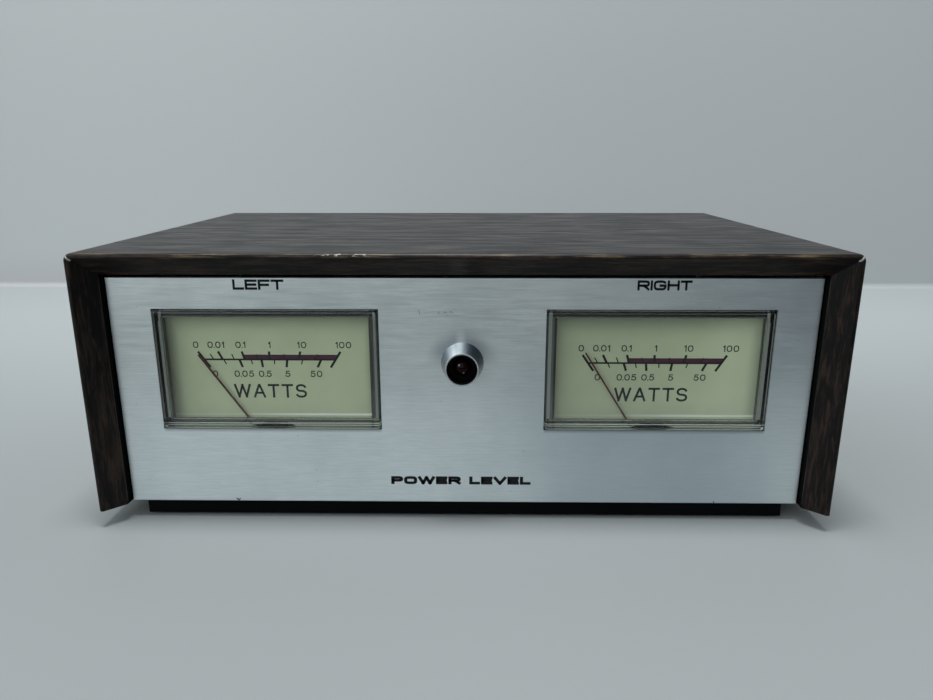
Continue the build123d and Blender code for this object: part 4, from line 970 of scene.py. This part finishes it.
# Light scuffs on the panel above the lamp, as (x, z) points in millimetres
scuffs = (
    ((-11.5, 60.4), (-11.2, 59.7), (-11.3, 59.2)),
    ((-6.2, 59.9), (-6.1, 59.3)),
    ((-4.9, 59.5), (-4.5, 59.9), (-4.0, 59.6)),
    ((-3.4, 59.7), (-3.0, 60.0), (-2.5, 59.6)),
    ((-4.3, 59.0), (-4.0, 58.8)),
)
scuff_width = 0.13 * mm
scuff_print = bmesh.new()
for scuff in scuffs:
    ribbon(scuff_print, [Vector(point) * mm for point in scuff], scuff_width, panel_y, False)
finished("panel_scuffs", closed_up(scuff_print, "scuffs"), scuff_ink)

# Dark nicks in the panel's lower edge, as (x, z) points in millimetres
nicks = (
    ((-64.0, 6.0), (-63.4, 5.5), (-63.3, 5.25)),
    ((-63.4, 5.5), (-62.8, 5.9)),
    ((70.3, 5.8), (70.5, 5.3)),
)
nick_width = 0.28 * mm
nick_print = bmesh.new()
for nick in nicks:
    ribbon(nick_print, [Vector(point) * mm for point in nick], nick_width, panel_y, False)
finished("panel_nicks", closed_up(nick_print, "nicks"), nick_ink)

# Marks above the terminals and the socket, as text with its place from left to right and its height
rear_height = 2.4 * mm
rear_weight = 0.4 * mm
rear_gap = 0.2
socket_text_z = 34.0 * mm
sign_z = 50.0 * mm
side_text_z = 54.6 * mm
rear_print = bmesh.new()
rear_texts = [("12 V DC", middle_x("dc_jack"), socket_text_z)]
for side in ("left", "right"):
    places = [middle_x(f"{side}_{colour}_lever") for colour in ("red", "black")]
    rear_texts += [(mark, place, sign_z) for mark, place in zip("+-", places)]
    rear_texts.append((side.upper(), sum(places) / 2, side_text_z))
for text, place, height in rear_texts:
    letters(rear_print, text, (place, height), rear_height, rear_weight, rear_y, rear_gap, facing=1)
finished("rear_lettering", closed_up(rear_print, "lettering"), white_ink)


# Floor, backdrop, lights and camera

def stage_material():
    """Pale surface with painted light and shade: the floor paler at the back, the wall paler to the left
    and darker at its foot, and dark to reflections out of sight in front.
    """
    r = Recipe("stage", roughness=0.6, specular_ior_level=0.25)
    back_floor = (0.366, 0.395, 0.402)
    foot_left, foot_right = (0.405, 0.412, 0.42), (0.350, 0.377, 0.390)
    wall_left, wall_right = (0.424, 0.447, 0.454), (0.352, 0.372, 0.382)
    unseen_dark = (0.02, 0.022, 0.023)
    floor_top = 0.0005
    cloud = r.noise(r.scaled(3), 2, 0.5)
    x, y, z = r.parts()
    path = r.nodes.new("ShaderNodeLightPath")
    unseen = r.times(r.span(y, -0.14, -0.20), path.outputs["Is Glossy Ray"])
    colour = r.ramp(cloud, (0.3, (0.238, 0.258, 0.264)), (0.7, (0.252, 0.272, 0.278)))
    # Painted light and shade: floor paler towards the back, wall paler to the left and darker at its foot
    colour = r.tint(r.span(y, -0.08, 0.25), colour, back_floor)
    foot = r.tint(r.span(x, -0.28, 0.0), foot_left, foot_right)
    upper = r.tint(r.span(x, -0.34, 0.16), wall_left, wall_right)
    wall = r.tint(r.span(z, 0.001, 0.03), foot, upper)
    colour = r.tint(r.over(z, floor_top), colour, wall)
    r.set(base_color=r.laid(colour, unseen_dark, unseen, 0.8))
    return r.material


def cove(back_y, radius, front_reach, half_span, height):
    """Floor that curves up into a wall."""
    profile = [(-front_reach, 0.0)]
    steps = 16
    for i in range(steps + 1):
        angle = math.radians(90) * i / steps
        profile.append((back_y - radius + radius * math.sin(angle), radius - radius * math.cos(angle)))
    profile.append((back_y, height))
    shape = bmesh.new()
    rows = [[shape.verts.new((x, y, z)) for y, z in profile] for x in (-half_span, half_span)]
    for i in range(len(profile) - 1):
        shape.faces.new((rows[0][i], rows[1][i], rows[1][i + 1], rows[0][i + 1])).smooth = True
    mesh_data = bpy.data.meshes.new("stage")
    shape.to_mesh(mesh_data)
    shape.free()
    mesh_data.materials.append(stage_material())
    piece = bpy.data.objects.new("stage", mesh_data)
    scene.collection.objects.link(piece)


cove(back_y=0.312, radius=0.004, front_reach=2.5, half_span=3.0, height=2.0)


def soft_light(name, place, target, size, power):
    """Rectangular softbox aimed at a point."""
    data = bpy.data.lights.new(name, "AREA")
    data.shape = "RECTANGLE"
    data.size, data.size_y = size
    data.energy = power
    lamp = bpy.data.objects.new(name, data)
    lamp.location = place
    lamp.rotation_euler = (Vector(target) - Vector(place)).to_track_quat("-Z", "Y").to_euler()
    scene.collection.objects.link(lamp)


soft_light("overhead", (-0.02, -0.13, 1.15), (0.0, -0.02, 0), (0.40, 0.24), 12.5)


def room():
    """Dim surroundings, bright to the front left and dark to the front right."""
    bright_way = (-0.80, -0.52, 0.30)
    dim, bright = (0.12, 0.135, 0.145, 1), (1.33, 1.42, 1.44, 1)
    world = bpy.data.worlds.new("room")
    world.use_nodes = True
    nodes, links = world.node_tree.nodes, world.node_tree.links
    place = nodes.new("ShaderNodeTexCoord")
    lean = nodes.new("ShaderNodeVectorMath")
    lean.operation = "DOT_PRODUCT"
    links.new(place.outputs["Generated"], lean.inputs[0])
    lean.inputs[1].default_value = bright_way
    lobe = nodes.new("ShaderNodeValToRGB")
    links.new(lean.outputs["Value"], lobe.inputs[0])
    elements = lobe.color_ramp.elements
    elements[0].position, elements[0].color = 0.05, dim
    elements[1].position, elements[1].color = 0.90, bright
    links.new(lobe.outputs["Color"], nodes["Background"].inputs["Color"])
    nodes["Background"].inputs["Strength"].default_value = 1.0
    return world


scene.world = room()

# Camera at the photograph's viewing angle, its turns in radians
camera_place = Vector((3.84, -242.98, 99.88)) * mm
camera_yaw = -0.0147
camera_pitch = 0.265
camera_roll = -0.001
sensor_width = 36.0
focal_length = 27.88

data = bpy.data.cameras.new("camera")
data.sensor_width = sensor_width
data.lens = focal_length
data.clip_start = 10 * mm
camera = bpy.data.objects.new("camera", data)
forward = Vector((
    math.sin(camera_yaw) * math.cos(camera_pitch),
    math.cos(camera_yaw) * math.cos(camera_pitch),
    -math.sin(camera_pitch),
))
right = forward.cross(Vector((0, 0, 1))).normalized()
up = right.cross(forward)
turned = Matrix((right, up, -forward)).transposed().to_4x4()
camera.matrix_world = Matrix.Translation(camera_place) @ turned @ Matrix.Rotation(camera_roll, 4, "Z")
scene.collection.objects.link(camera)
scene.camera = camera

scene.view_settings.view_transform = "Standard"
